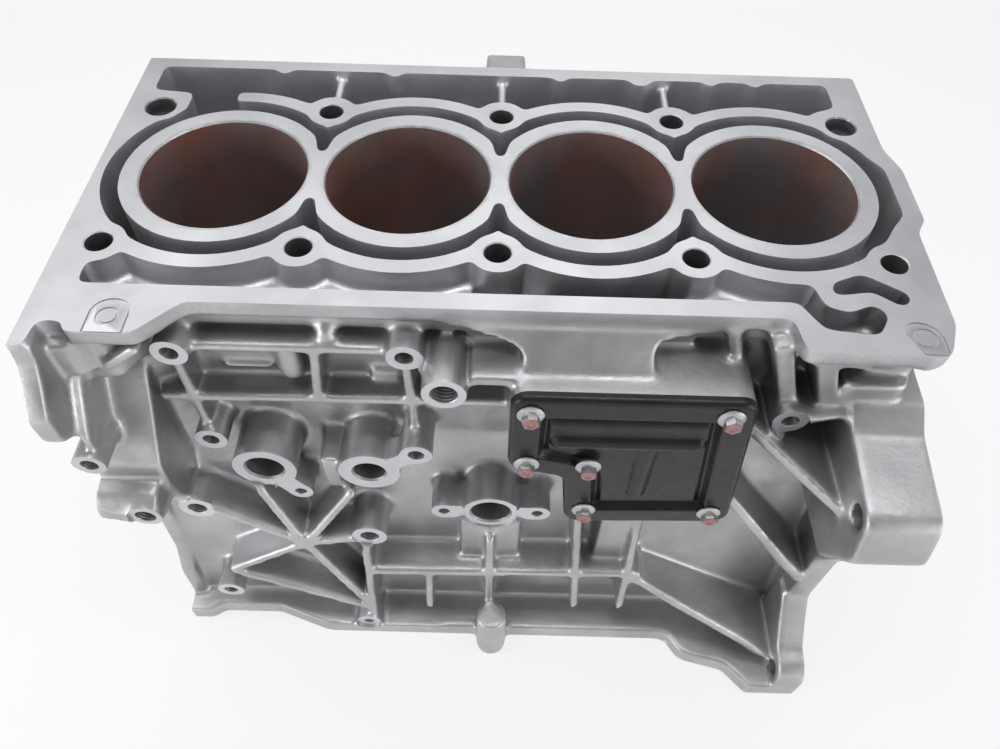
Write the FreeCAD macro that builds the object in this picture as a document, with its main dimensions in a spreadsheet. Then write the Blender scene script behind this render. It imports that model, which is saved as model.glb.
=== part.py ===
import FreeCAD, Part
import math
import os

from FreeCAD import Placement, Rotation, Vector

# Cylinder block of a four cylinder petrol engine, in millimetres.
# It is an open deck aluminium casting with cast-in iron liners, five main bearing
# caps with their bolts, a gallery plug, and a pressed steel cover on the breather box.
# The origin is on the crankshaft axis in the middle of the middle main bearing.
# X runs to the transmission end, Y to the back and Z up to the head face.

# Driving dimensions
SIZES = {
    "bore_diameter": 75.0,
    "bore_pitch": 84.0,
    "liner_wall": 2.0,
    "liner_length": 130.0,
    "barrel_wall": 7.0,
    "jacket_gap": 7.5,
    "jacket_wall": 7.5,
    "jacket_depth": 90.0,
    "jacket_end_depth": 30.0,
    "barrel_notch": 3.5,
    "barrel_web": 32.0,
    "deck_height": 207.0,
    "deck_thickness": 9.0,
    "timing_overhang": 58.5,
    "deck_overhang": 58.0,
    "bell_overhang": 59.0,
    "front_pocket_width": 10.0,
    "front_pocket_depth": 13.0,
    "drain_step_depth": 26.0,
    "drain_depth": 104.0,
    "front_lip": 9.0,
    "front_recess": 10.5,
    "rear_chamber_width": 21.0,
    "rear_chamber_depth": 75.0,
    "rear_wall": 7.5,
    "chamber_rib": 4.0,
    "head_bolt_spread": 95.4,
    "head_bolt_drill": 11.6,
    "head_bolt_depth": 82.0,
    "head_bolt_boss": 23.0,
    "return_slot_depth": 24.0,
    "main_bore": 54.0,
    "bulkhead_thickness": 20.0,
    "crank_sweep": 78.0,
    "skirt_depth": 55.0,
    "skirt_wall": 6.5,
    "rail_thickness": 11.0,
    "rib_thickness": 5.0,
    "seal_bore": 88.0,
    "seal_depth": 12.0,
    "cap_width": 19.0,
    "cap_span": 104.0,
    "cap_height": 46.0,
    "cap_shoulder": 34.0,
    "cap_bolt_spread": 76.0,
    "cap_bolt_thread": 10.0,
    "cap_bolt_clearance": 0.5,
    "cap_bolt_reach": 42.0,
    "cap_bolt_head": 15.0,
    "timing_flange": 7.5,
    "bell_flange": 12.0,
    "bell_corner_length": 31.0,
    "bell_recess": 6.0,
    "bell_bolt_hole": 11.0,
    "breather_face": 102.0,
    "breather_wall": 5.5,
    "cover_thickness": 1.5,
    "cover_rim_height": 4.5,
    "cover_dish": 5.5,
    "cover_tee": 1.0,
    "gallery_bore": 12.0,
    "gallery_depth": 90.0,
    "plug_length": 10.0,
}

document = FreeCAD.newDocument("CylinderBlock")
sheet = document.addObject("Spreadsheet::Sheet", "Sizes")


def store(table):
    """Write a table of named sizes into the sheet, below what it already holds."""
    first = len(stored) + 1
    for row, (alias, value) in enumerate(table.items(), start=first):
        sheet.set(f"A{row}", alias)
        sheet.set(f"B{row}", str(value))
        sheet.setAlias(f"B{row}", alias)
        stored.append(alias)
    document.recompute()


stored = []
store(SIZES)

# Places worked out from the driving dimensions
pitch = sheet.bore_pitch
liner_radius = sheet.bore_diameter / 2 + sheet.liner_wall
barrel_radius = liner_radius + sheet.barrel_wall
jacket_radius = barrel_radius + sheet.jacket_gap
land_radius = jacket_radius + sheet.jacket_wall
timing_x = -1.5 * pitch - sheet.timing_overhang
deck_end_x = 1.5 * pitch + sheet.deck_overhang
bell_x = 1.5 * pitch + sheet.bell_overhang
pocket_y = -land_radius - sheet.front_pocket_width
lip_y = pocket_y - sheet.front_lip
wall_y = lip_y + sheet.front_recess
chamber_y = land_radius + sheet.rear_chamber_width
back_y = chamber_y + sheet.rear_wall
deck_z = sheet.deck_height
rail_z = -sheet.skirt_depth
bores = [(number - 1.5) * pitch for number in range(4)]
bearings = [(number - 2) * pitch for number in range(5)]

LEVEL = Rotation()
FRONT = Rotation(Vector(1, 0, 0), 90)
ENDWAYS = Rotation(Vector(1, 1, 1), 120)
NORMALS = {"level": Vector(0, 0, 1), "front": Vector(0, -1, 0), "endways": Vector(1, 0, 0)}
TURNS = {"level": LEVEL, "front": FRONT, "endways": ENDWAYS}


def outline(points):
    """Edges of a closed outline; a point with a third number is a corner rounded to that radius."""
    corners = []
    count = len(points)
    for index, point in enumerate(points):
        here = Vector(point[0], point[1], 0)
        before = Vector(points[index - 1][0], points[index - 1][1], 0) - here
        after_point = points[(index + 1) % count]
        after = Vector(after_point[0], after_point[1], 0) - here
        radius = point[2] if len(point) > 2 else 0
        before_way = before / before.Length
        after_way = after / after.Length
        bisector = before_way + after_way
        if not radius or bisector.Length < 1e-6:
            corners.append((here, None, here))
            continue
        half = before_way.getAngle(after_way) / 2
        setback = radius / math.tan(half)
        centre = here + bisector / bisector.Length * (radius / math.sin(half))
        middle = centre + (here - centre) / (here - centre).Length * radius
        corners.append((here + before_way * setback, middle, here + after_way * setback))
    edges = []
    for index, (start, middle, end) in enumerate(corners):
        if middle is not None:
            edges.append(Part.Arc(start, middle, end))
        onward = corners[(index + 1) % count][0]
        if (onward - end).Length > 1e-6:
            edges.append(Part.LineSegment(end, onward))
    return edges


def prism(name, plane, points, start, length):
    """Extrude an outline along its plane's normal; start and length are expressions."""
    sketch = document.addObject("Sketcher::SketchObject", name + "_outline")
    sketch.Placement = Placement(Vector(), TURNS[plane])
    sketch.addGeometry(outline(points), False)
    normal = NORMALS[plane]
    axis = "xyz"[[abs(part) for part in normal].index(1)]
    sign = "" if sum(normal) > 0 else "-1 * "
    sketch.setExpression("Placement.Base." + axis, f"{sign}({start})")
    body = document.addObject("Part::Extrusion", name)
    body.Base = sketch
    body.DirMode = "Normal"
    body.Solid = True
    body.setExpression("LengthFwd", length)
    return body


def rod(name, plane, centre, start, radius, length):
    """A cylinder along the plane's normal; every size is an expression."""
    body = document.addObject("Part::Cylinder", name)
    turn = {"level": LEVEL, "front": FRONT, "endways": Rotation(Vector(0, 1, 0), 90)}[plane]
    body.Placement = Placement(Vector(), turn)
    along, across, height = centre
    places = {
        "level": (along, across, start),
        "front": (along, f"-1 * ({start})", height),
        "endways": (start, across, height),
    }[plane]
    for axis, place in zip("xyz", places):
        body.setExpression("Placement.Base." + axis, str(place))
    body.setExpression("Radius", radius)
    body.setExpression("Height", length)
    return body


def block(name, low, high):
    """A box between two corners, each given as expressions."""
    body = document.addObject("Part::Box", name)
    for axis, side, start, end in zip("xyz", ("Length", "Width", "Height"), low, high):
        body.setExpression("Placement.Base." + axis, str(start))
        body.setExpression(side, f"({end}) - ({start})")
    return body


def fused(name, pieces):
    """One body from several that meet."""
    body = document.addObject("Part::MultiFuse", name)
    body.Shapes = pieces
    return body


def cut(name, base, tool):
    """The base without the tool."""
    body = document.addObject("Part::Cut", name)
    body.Base = base
    body.Tool = tool
    return body


def common(name, first, second):
    """What two bodies share."""
    body = document.addObject("Part::MultiCommon", name)
    body.Shapes = [first, second]
    return body


def rib_line(start, end, thickness, end_radius=0.0):
    """Outline of a straight rib of the given thickness seen along its depth."""
    way = Vector(end[0] - start[0], end[1] - start[1], 0)
    side = Vector(-way.y, way.x, 0) / way.Length * thickness / 2
    near, far = Vector(*start, 0), Vector(*end, 0)
    outer = [(corner.x, corner.y, end_radius) for corner in (far - side, far + side)]
    inner = [(corner.x, corner.y) for corner in (near + side, near - side)]
    return outer + inner


# Expressions used in many places
BARREL = "Sizes.bore_diameter / 2 + Sizes.liner_wall + Sizes.barrel_wall"
JACKET = f"{BARREL} + Sizes.jacket_gap"
LAND = f"{JACKET} + Sizes.jacket_wall"
DECK = "Sizes.deck_height"
RAIL = "-1 * Sizes.skirt_depth"
TIMING = "-1.5 * Sizes.bore_pitch - Sizes.timing_overhang"
BELL = "1.5 * Sizes.bore_pitch + Sizes.bell_overhang"


def station(pitches, offset=0.0):
    """Place along the crankshaft: so many bore pitches from the middle, plus an offset."""
    return pitches * pitch + offset


def down(distance):
    """Height of a point so far below the head face."""
    return deck_z - distance


# Deck plate with its front lip, tabs and the bulge over the transmission face
deck_outline = [
    (timing_x, back_y),
    (timing_x, -105.0),
    (timing_x + 6.0, -105.0, 2.0),
    (timing_x + 6.0, -92.0, 4.0),
    (timing_x + 17.0, -92.0, 3.0),
    (timing_x + 18.0, -97.5, 2.0),
    (station(-1.5, -14.0), -97.5, 5.0),
    (station(-1.5, 2.0), lip_y, 6.0),
    (station(1.5, -7.5), lip_y, 3.5),
    (station(1.5, -5.5), -97.5, 6.0),
    (station(1.5, 36.0), -97.5, 5.0),
    (station(1.5, 44.0), -99.5, 4.0),
    (deck_end_x - 7.0, -96.5, 5.0),
    (deck_end_x - 1.0, lip_y - 1.0, 4.0),
    (deck_end_x, -28.0),
    (deck_end_x + 5.0, -20.0),
    (deck_end_x + 5.0, 15.0),
    (deck_end_x, 30.0),
    (deck_end_x, back_y),
]
deck_plate = prism(
    "deck_plate", "level", deck_outline, f"{DECK} - Sizes.deck_thickness", "Sizes.deck_thickness"
)

# Upper block: recessed front wall, plain back wall, down to the crankcase roof
upper_foot = 88.0
upper_outline = [
    (timing_x, back_y),
    (timing_x, wall_y - 6.0),
    (station(-1.5, -26.0), wall_y - 6.0),
    (station(-1.5, -14.0), wall_y, 8.0),
    (station(1.5, 28.0), wall_y, 4.0),
    (station(1.5, 31.0), -84.0, 3.0),
    (deck_end_x - 7.0, -84.0, 5.0),
    (deck_end_x - 3.0, wall_y),
    (deck_end_x - 1.0, -40.0),
    (deck_end_x, back_y),
]
upper_block = prism("upper_block", "level", upper_outline, str(upper_foot), f"{DECK} - {upper_foot} - 1")
pocket_skin = pocket_y - 4.5
pocket_box = prism(
    "pocket_box",
    "level",
    [
        (station(-1.5, -50.0), wall_y + 5.0),
        (station(-1.5, -50.0), pocket_skin),
        (station(1.5, 8.0), pocket_skin),
        (station(1.5, 8.0), wall_y + 5.0),
    ],
    f"{DECK} - Sizes.front_pocket_depth - 6",
    "Sizes.front_pocket_depth",
)
left_shoulder = prism(
    "left_shoulder",
    "level",
    [
        (timing_x, wall_y + 5.0),
        (timing_x, -91.0),
        (station(-1.5, -32.0), -91.0, 6.0),
        (station(-1.5, -20.0), wall_y, 6.0),
        (station(-1.5, -16.0), wall_y + 5.0),
    ],
    f"{DECK} - 39",
    "31",
)
left_dome = rod("left_dome", "level", (f"{TIMING} + 12", "-89", None), f"{DECK} - 30", "9", "20")
step_front = -91.0
corner_step = prism(
    "corner_step",
    "level",
    [
        (station(1.5, 22.0), wall_y + 5.0),
        (station(1.5, 22.0), step_front, 4.0),
        (deck_end_x - 9.0, step_front, 5.0),
        (deck_end_x - 4.0, wall_y + 5.0),
    ],
    f"{DECK} - 50",
    "20.5",
)
pocket_floor = prism(
    "pocket_floor",
    "level",
    [
        (station(1.5, -10.0), wall_y + 5.0),
        (station(1.5, 1.0), -90.0, 5.0),
        (station(1.5, 27.0), -92.5, 5.0),
        (station(1.5, 35.5), -80.0, 5.0),
        (station(1.5, 35.5), wall_y + 5.0),
    ],
    f"{DECK} - Sizes.front_pocket_depth - 5",
    "Sizes.front_pocket_depth",
)

# The bulge over the oil drain: a face that slopes out from the lip to the breather box
drain_slope = prism(
    "drain_slope",
    "endways",
    [
        (wall_y + 5.0, down(7.0)),
        (lip_y + 0.5, down(7.0)),
        (lip_y + 0.5, down(9.0)),
        (lip_y - 15.0, down(25.0)),
        (lip_y - 15.0, down(30.0)),
        (wall_y + 5.0, down(30.0)),
    ],
    "-0.5 * Sizes.bore_pitch",
    "2 * Sizes.bore_pitch",
)
drain_outline = prism(
    "drain_outline",
    "front",
    [
        (station(0, -32.0), down(7.0)),
        (station(0, -28.6), down(8.6)),
        (station(0, 3.0), down(14.5)),
        (station(0.5, -30.5), down(17.5), 4.0),
        (station(0.5, -31.0), down(30.0)),
        (station(0.5, 24.5), down(30.0)),
        (station(0.5, 24.0), down(14.0), 5.0),
        (station(0.5, 42.0), down(11.5)),
        (station(0.5, 58.0), down(8.6)),
        (station(0.5, 62.0), down(7.0)),
    ],
    "60",
    "60",
)
drain_bulge = common("drain_bulge", drain_slope, drain_outline)
drain_tank = block(
    "drain_tank",
    (str(station(0, -12.0)), str(pocket_skin), f"{DECK} - Sizes.drain_step_depth - 4"),
    (str(station(1, 0.0)), str(wall_y + 5.0), f"{DECK} - 5"),
)
end_bulge = prism(
    "end_bulge",
    "level",
    [
        (deck_end_x - 6.0, -32.0),
        (deck_end_x + 4.0, -20.0, 6.0),
        (deck_end_x + 4.0, 15.0, 6.0),
        (deck_end_x - 6.0, 34.0),
    ],
    f"{DECK} - 18",
    "10",
)

# Short columns that carry the deck lip at the transmission end, and one by the second port
COLUMNS = {
    "lip_column_1": ((station(1.5, -29.0), down(8.0)), (station(1.5, -20.0), down(38.0)), 6.0, 82.0),
    "lip_column_2": ((station(1.5, -10.5), down(8.0)), (station(1.5, 4.0), down(50.0)), 8.5, 89.0),
    "lip_column_3": ((station(1.5, 7.0), down(8.0)), (station(1.5, 20.0), down(47.0)), 9.0, 91.0),
    "port_column": ((station(-1, 4.0), 107.0), (station(-1, 4.0), 80.0), 9.0, 92.0),
}
columns = [
    prism(name, "front", rib_line(top, foot, width, width / 2 - 0.1), "64", f"{face} - 64")
    for name, (top, foot, width, face) in COLUMNS.items()
]
corner_shelf = prism(
    "corner_shelf",
    "front",
    rib_line((station(1.5, 4.0), down(47.0)), (station(1.5, 32.0), down(47.0)), 4.0),
    "64",
    "31",
)

# Crankcase: a skirt that widens down to the oil pan rail
skirt_front = [(wall_y, 104.0), (-80.0, 82.0), (-86.0, 40.0), (-90.0, 8.0), (-95.0, -30.0), (-96.0, rail_z)]
skirt_back = [(96.0, rail_z), (95.0, -30.0), (91.0, 10.0), (back_y, 50.0), (back_y, 104.0)]
crankcase = prism(
    "crankcase", "endways", skirt_front + skirt_back, TIMING, f"{BELL} - ({TIMING}) - Sizes.bell_flange"
)

# Oil pan rail, seen from below
rail_outline = [
    (timing_x, 104.0),
    (timing_x, -112.0),
    (timing_x + 12.0, -112.0),
    (timing_x + 18.0, -107.5),
    (station(-1.5, -5.0), -107.5),
    (station(-1, -15.0), -118.5, 8.0),
    (station(1, 26.0), -118.5, 8.0),
    (station(1.5, -8.0), -131.0, 10.0),
    (station(1.5, 18.0), -137.0),
    (station(1.5, 30.0), -150.0),
    (bell_x, -150.0),
    (bell_x, 104.0),
]
rail = prism("rail", "level", rail_outline, RAIL, "Sizes.rail_thickness")

# Foot boss in the middle of the rail, with the column that stands on it
foot_boss = rod(
    "foot_boss", "level", ("2", "-122", None), RAIL, "9", "Sizes.skirt_depth - 12"
)

# Ribs on the front wall: straight webs cut to a common outer surface
ENVELOPE = [
    (-60.0, down(9.0)),
    (-84.0, down(9.0)),
    (-84.5, 107.0),
    (-98.0, 82.0),
    (-105.0, 52.0),
    (-111.0, 7.0),
    (-117.0, rail_z + 8.0),
    (-60.0, rail_z + 8.0),
]
rib_envelope = prism("rib_envelope", "endways", ENVELOPE, TIMING, f"{BELL} - ({TIMING})")
star = (station(-1, -16.0), 41.0)
rib_ends = {
    "bracket_top": ((station(-1.5, -9.0), down(25.0)), (station(-0.5, 4.0), down(25.0))),
    "belt_line": ((station(-1.5, -26.0), down(62.0)), (station(0, 12.0), down(60.0))),
    "bracket_left": ((station(-1.5, -11.0), down(25.0)), (station(-1.5, -10.0), down(94.0))),
    "bracket_middle": ((station(-1, 8.0), down(25.0)), (station(-1, 4.0), down(62.0))),
    "bracket_right": ((station(-0.5, 4.0), down(25.0)), (station(-0.5, 5.0), down(82.0))),
    "star_to_left": (star, (station(-1.5, -20.0), 73.0)),
    "star_to_port": (star, (station(-1.5, 6.0), 90.0)),
    "star_to_corner": (star, (station(-1.5, -20.0), 12.0)),
    "star_to_right": (star, (station(-0.5, -22.0), 50.0)),
    "star_to_second_port": (star, (station(-1, 14.0), 84.0)),
    "star_to_rail": (star, (station(-1, 14.0), -26.0)),
    "corner_to_rail": ((station(-1.5, -20.0), 12.0), (station(-1, 12.0), -27.0)),
    "right_upright": ((station(-1, 17.0), 52.0), (station(-1, 14.0), -45.0)),
    "shelf": ((station(-1, 16.0), 15.0), (station(1, 2.0), 18.0)),
    "short_upright": ((station(0, -34.0), 12.0), (station(0, -35.0), -25.0)),
    "foot_upright": ((0.0, 50.0), (0.0, -40.0)),
    "left_of_box": ((station(0.5, 2.0), 90.0), (station(0.5, 9.0), -20.0)),
    "right_of_box": ((station(1, -7.0), 90.0), (station(1, -6.0), -20.0)),
}
rib_webs = [
    prism(name + "_rib", "front", rib_line(start, end, sheet.rib_thickness), "60", "62")
    for name, (start, end) in rib_ends.items()
]
front_ribs = common("front_ribs", fused("rib_webs", rib_webs), rib_envelope)

# Brace webs that run out from the skirt to the transmission flange: ends, then outer edge from above
BRACES = {
    "upper_brace": (
        ((station(1, 18.0), 155.0), (bell_x - 20.0, 126.0)),
        [(station(1, 16.0), -86.0), (bell_x - 33.0, -126.0), (bell_x - 12.0, -126.0)],
    ),
    "middle_brace": (
        ((station(1, 22.0), 108.0), (bell_x - 12.0, 26.0)),
        [(station(1, 16.0), -95.0), (bell_x - 28.0, -112.0), (bell_x - 12.0, -114.0)],
    ),
    "lower_brace": (
        ((station(1, -4.0), 14.0), (bell_x - 16.0, -36.0)),
        [(station(1, -6.0), -108.0), (station(1, 24.0), -118.0), (bell_x - 36.0, -130.0), (bell_x - 12.0, -140.0)],
    ),
}
braces = []
for name, (ends, edge) in BRACES.items():
    web = prism(name + "_web", "front", rib_line(*ends, 7.0), "60", "90")
    reach = [(edge[0][0], -60.0)] + edge + [(edge[-1][0], -60.0)]
    limit = prism(name + "_limit", "level", reach, RAIL, f"{DECK} + Sizes.skirt_depth")
    braces.append(common(name, web, limit))

# Timing cover flange at the front end of the crankshaft
timing_outline = [
    (back_y + 6.0, down(10.0)),
    (-97.0, down(1.0)),
    (-105.0, down(3.0), 2.0),
    (-106.0, down(10.0)),
    (-112.0, down(21.0)),
    (-119.5, down(32.0), 8.0),
    (-119.0, down(48.0), 9.0),
    (-108.0, down(56.0), 6.0),
    (-92.0, down(58.0), 5.0),
    (-100.0, down(90.0)),
    (-100.0, 86.0),
    (-90.0, 60.0),
    (-90.0, 34.0),
    (-92.0, 4.0),
    (-99.0, -14.0),
    (-101.0, rail_z),
    (102.0, rail_z),
    (96.0, -10.0),
    (96.0, down(57.0)),
]
timing_plate = prism("timing_plate", "endways", timing_outline, TIMING, "Sizes.timing_flange")
pocket_top = down(104.0)
timing_pocket = prism(
    "timing_pocket",
    "endways",
    [
        (80.0, pocket_top),
        (-84.0, pocket_top),
        (-78.0, 30.0),
        (-84.0, -38.0),
        (84.0, -38.0),
    ],
    TIMING,
    "Sizes.timing_flange",
)
timing_bulge = prism(
    "timing_bulge",
    "endways",
    [
        (wall_y, down(38.0)),
        (-79.0, down(44.0)),
        (-88.0, down(60.0)),
        (-102.0, down(88.0)),
        (-106.0, down(98.0), 4.0),
        (-104.0, down(119.0), 6.0),
        (-90.0, down(147.0)),
        (wall_y, down(147.0)),
    ],
    TIMING,
    "Sizes.timing_overhang - 28",
)
tensioner_web = prism(
    "tensioner_web",
    "endways",
    [(wall_y, down(30.0)), (-94.0, down(30.0)), (-112.0, down(56.0)), (-112.0, down(66.0)), (wall_y, down(66.0))],
    f"{TIMING} + 8.5",
    "3.5",
)

# Transmission flange with its thick upper corner and the lug at the rail
bell_outline = [
    (wall_y, down(38.0)),
    (-80.0, down(42.0)),
    (-103.0, down(50.0)),
    (-124.0, down(54.0)),
    (-142.0, down(56.5), 10.0),
    (-149.0, down(79.0), 11.0),
    (-137.0, down(98.0)),
    (-111.0, 49.0, 12.0),
    (-111.0, 2.0, 8.0),
    (-121.0, -10.0, 8.0),
    (-133.0, -23.0, 8.0),
    (-150.0, -26.0, 12.0),
    (-150.0, rail_z),
    (126.0, rail_z),
    (140.0, -10.0, 20.0),
    (146.0, 60.0, 30.0),
    (132.0, 130.0, 20.0),
    (100.0, down(31.0)),
    (70.0, down(21.0)),
]
bell_plate = prism(
    "bell_plate", "endways", bell_outline, f"{BELL} - Sizes.bell_flange", "Sizes.bell_flange"
)
bell_pocket = prism(
    "bell_pocket",
    "endways",
    [
        (-84.0, down(57.0)),
        (-122.0, down(66.0)),
        (-124.0, down(82.0)),
        (-96.0, 50.0),
        (-98.0, -36.0),
        (112.0, -36.0),
        (126.0, 0.0),
        (131.0, 60.0),
        (116.0, 130.0),
        (90.0, down(35.0)),
    ],
    f"{BELL} - Sizes.bell_recess",
    "Sizes.bell_recess",
)
bell_corner = prism(
    "bell_corner",
    "endways",
    [
        (wall_y + 5.0, 96.0),
        (wall_y + 5.0, down(38.0)),
        (-92.0, down(40.0)),
        (-103.0, down(48.0)),
        (-124.0, down(52.0)),
        (-142.0, down(55.0), 10.0),
        (-149.0, down(79.0), 11.0),
        (-137.0, down(98.0)),
        (-130.0, 96.0),
    ],
    f"{BELL} - Sizes.bell_corner_length",
    "Sizes.bell_corner_length",
)
bell_lug = prism(
    "bell_lug",
    "endways",
    [
        (-100.0, rail_z),
        (-100.0, 2.0),
        (-111.0, 2.0, 4.0),
        (-121.0, -10.0, 8.0),
        (-133.0, -23.0, 8.0),
        (-150.0, -26.0, 12.0),
        (-150.0, rail_z),
    ],
    f"{BELL} - 15",
    "15",
)

# Breather box behind the cover, and the cover outline that it shares
box_top = deck_z - 24.0
cover_outline = [
    (station(0, 7.0), box_top, 8.0),
    (station(1, 24.0), box_top, 8.0),
    (station(1, 35.0), box_top - 102.0, 9.0),
    (station(0.5, -5.0), box_top - 106.0, 9.0),
    (station(0.5, -9.0), box_top - 62.0, 7.0),
    (station(0, 7.0), box_top - 55.0, 9.0),
]


def inset(points, distance):
    """The same outline moved inwards; the points run clockwise or the other way."""
    count = len(points)
    area = sum(
        points[index - 1][0] * points[index][1] - points[index][0] * points[index - 1][1]
        for index in range(count)
    )
    turn = 1 if area > 0 else -1
    moved = []
    for index, point in enumerate(points):
        here = Vector(point[0], point[1], 0)
        before = Vector(points[index - 1][0], points[index - 1][1], 0)
        after = Vector(points[(index + 1) % count][0], points[(index + 1) % count][1], 0)
        first = (here - before) / (here - before).Length
        second = (after - here) / (after - here).Length
        first_in = Vector(-first.y, first.x, 0) * turn
        second_in = Vector(-second.y, second.x, 0) * turn
        mean = first_in + second_in
        shift = mean / mean.Length * (distance / math.cos(first_in.getAngle(second_in) / 2))
        convex = (first.x * second.y - first.y * second.x) * turn > 0
        radius = point[2] - distance if convex else point[2] + distance
        place = here + shift
        moved.append((place.x, place.y, max(radius, 0.0)))
    return moved


cover_rim = 13.0
breather_box = prism(
    "breather_box", "front", cover_outline, f"{-wall_y} - 6", f"Sizes.breather_face - {-wall_y} + 6"
)
breather_chamber = prism(
    "breather_chamber",
    "front",
    inset(cover_outline, cover_rim),
    f"{-pocket_y} + Sizes.breather_wall",
    f"Sizes.breather_face - {-pocket_y} - Sizes.breather_wall",
)

# Bosses that face the front: datum, bore pitches, offset, height, face, radius
BOSSES = {
    "bracket_a": ("deck", -1.5, -9.0, -24.0, 88.0, 8.0),
    "bracket_b": ("deck", -0.5, 4.5, -23.0, 88.0, 8.0),
    "bracket_c": ("deck", -1.5, -9.0, -90.0, 88.0, 8.0),
    "bracket_d": ("deck", -0.5, 6.0, -88.0, 95.0, 8.0),
    "bracket_r": ("deck", 1.5, 4.0, -51.0, 95.0, 8.0),
    "lifting": ("deck", 0, -20.5, -30.0, 101.0, 9.7),
    "tensioner": ("deck", -1.5, -51.0, -71.0, 115.0, 7.5),
    "bracket_e": ("axis", -1.5, -26.0, 69.0, 100.0, 9.5),
    "bracket_f": ("axis", -0.5, -22.0, 52.0, 105.0, 9.5),
    "mount_low": ("axis", -1.5, -37.5, 98.0, 120.0, 8.0),
    "port_left": ("axis", -1.5, 15.0, 103.0, 95.0, 15.7),
    "port_left_ear": ("axis", -1.5, 29.0, 81.0, 95.0, 6.5),
    "port_right": ("axis", -0.5, -18.0, 102.0, 95.0, 15.2),
    "sender": ("axis", 0, 0.0, 73.0, 100.0, 14.5),
    "sender_ear_left": ("axis", 0, -24.0, 73.0, 100.0, 7.0),
    "sender_ear_right": ("axis", 0, 24.0, 73.0, 100.0, 7.0),
    "rail_left": ("axis", -1.5, -26.0, -12.0, 111.0, 8.0),
    "rail_middle": ("axis", -0.5, -31.0, -41.0, 117.0, 7.5),
}
# Holes in the bosses: radius, depth
DRILLS = {
    "port_left": (9.1, 24.0),
    "port_right": (7.7, 24.0),
    "sender": (10.0, 22.0),
    "bracket_e": (4.2, 26.0),
    "bracket_f": (4.2, 26.0),
    "mount_low": (4.2, 30.0),
    "lifting": (4.2, 26.0),
}
for name, (datum, *values) in BOSSES.items():
    fields = ("pitches", "offset", "height", "face", "radius")
    store({f"{name}_{field}": value for field, value in zip(fields, values)})
for name, values in DRILLS.items():
    store({f"{name}_{field}": value for field, value in zip(("drill", "depth"), values)})

boss_root = 62.0
boss_rods = []
boss_drills = []
for name, (datum, *values) in BOSSES.items():
    along = f"Sizes.{name}_pitches * Sizes.bore_pitch + Sizes.{name}_offset"
    level = f"Sizes.{name}_height" + (f" + {DECK}" if datum == "deck" else "")
    centre = (along, None, level)
    boss = rod(name, "front", centre, str(boss_root), f"Sizes.{name}_radius", f"Sizes.{name}_face - {boss_root}")
    boss_rods.append(boss)
    if name in DRILLS:
        floor = f"Sizes.{name}_face - Sizes.{name}_depth"
        drill = rod(name + "_hole", "front", centre, floor, f"Sizes.{name}_drill", f"Sizes.{name}_depth")
        boss_drills.append(drill)


# Necks that join a port to its ear, and the columns under the sender port and the breather box
def neck(name, start, end, width, face, root=str(boss_root)):
    """A straight bar between two bosses, level with their faces."""
    return prism(name, "front", rib_line(start, end, width), root, f"{face} - ({root})")


port_left = (station(-1.5, 15.0), 103.0)
port_right = (station(-0.5, -18.0), 102.0)
drain_column_x = station(1, -15.0)
necks = [
    neck(
        "port_left_neck",
        port_left,
        (station(-1.5, 29.0), 81.0),
        12.0,
        "Sizes.port_left_face",
        "Sizes.port_left_face - 14",
    ),
    neck(
        "port_right_neck",
        port_right,
        (station(-0.5, 6.0), down(88.0)),
        9.0,
        "Sizes.port_right_face",
        "Sizes.port_right_face - 14",
    ),
    neck(
        "sender_neck",
        (-24.0, 73.0),
        (24.0, 73.0),
        12.0,
        "Sizes.sender_face",
        "Sizes.sender_face - 14",
    ),
    neck("sender_column", (0.0, 73.0), (0.0, 16.0), 33.0, "Sizes.sender_face - 1"),
    neck("drain_column", (drain_column_x, 90.0), (drain_column_x, 16.0), 22.0, "Sizes.sender_face - 1"),
]
side_tube = rod("side_tube", "endways", (None, "-110", "99"), TIMING, "10.5", "28")
back_lug = prism(
    "back_lug",
    "level",
    [(-9.0, back_y - 4.0), (-9.0, back_y + 17.0), (12.0, back_y + 17.0), (12.0, back_y - 4.0)],
    f"{DECK} - 16",
    "14",
)

# Upright ribs on the back of the crankcase, one at each inner bulkhead
back_ribs = [
    prism(
        f"back_rib_{number}",
        "endways",
        [(back_y - 4.0, 96.0), (back_y + 2.0, 90.0), (back_y + 14.0, rail_z + 4.0), (back_y - 4.0, rail_z + 4.0)],
        f"{x} - 0.5 * Sizes.rib_thickness",
        "Sizes.rib_thickness",
    )
    for number, x in enumerate(bearings[1:-1], start=2)
]

solid = fused(
    "solid_casting",
    [deck_plate, upper_block, left_shoulder, left_dome, corner_step, pocket_floor, end_bulge]
    + [pocket_box, drain_bulge, drain_tank, crankcase, rail, foot_boss, front_ribs, corner_shelf]
    + [timing_plate, timing_bulge, tensioner_web, bell_plate, bell_corner, bell_lug, breather_box]
    + [side_tube, back_lug]
    + columns
    + braces
    + back_ribs
    + boss_rods
    + necks,
)

# Water jacket: a ring round the joined barrels with the head bolt columns left standing
bolt_y = sheet.head_bolt_spread / 2
jacket_rings = [
    rod(f"jacket_ring_{number}", "level", (str(x), "0", None), f"{DECK} - Sizes.jacket_depth", JACKET, "Sizes.jacket_depth")
    for number, x in enumerate(bores, start=1)
]
jacket_end = prism(
    "jacket_end",
    "level",
    [
        (station(1.5), 50.0),
        (station(1.5, 39.0), 37.0),
        (station(1.5, 54.5), 15.0, 6.0),
        (station(1.5, 54.5), -17.0, 6.0),
        (station(1.5, 34.0), -42.0),
        (station(1.5), -50.0),
    ],
    f"{DECK} - Sizes.jacket_end_depth",
    "Sizes.jacket_end_depth",
)
barrels = [
    rod(f"barrel_{number}", "level", (str(x), "0", None), f"{DECK} - Sizes.jacket_depth", BARREL, "Sizes.jacket_depth")
    for number, x in enumerate(bores, start=1)
]
bolt_places = [(x, side * bolt_y) for x in bearings for side in (-1, 1)]
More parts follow.
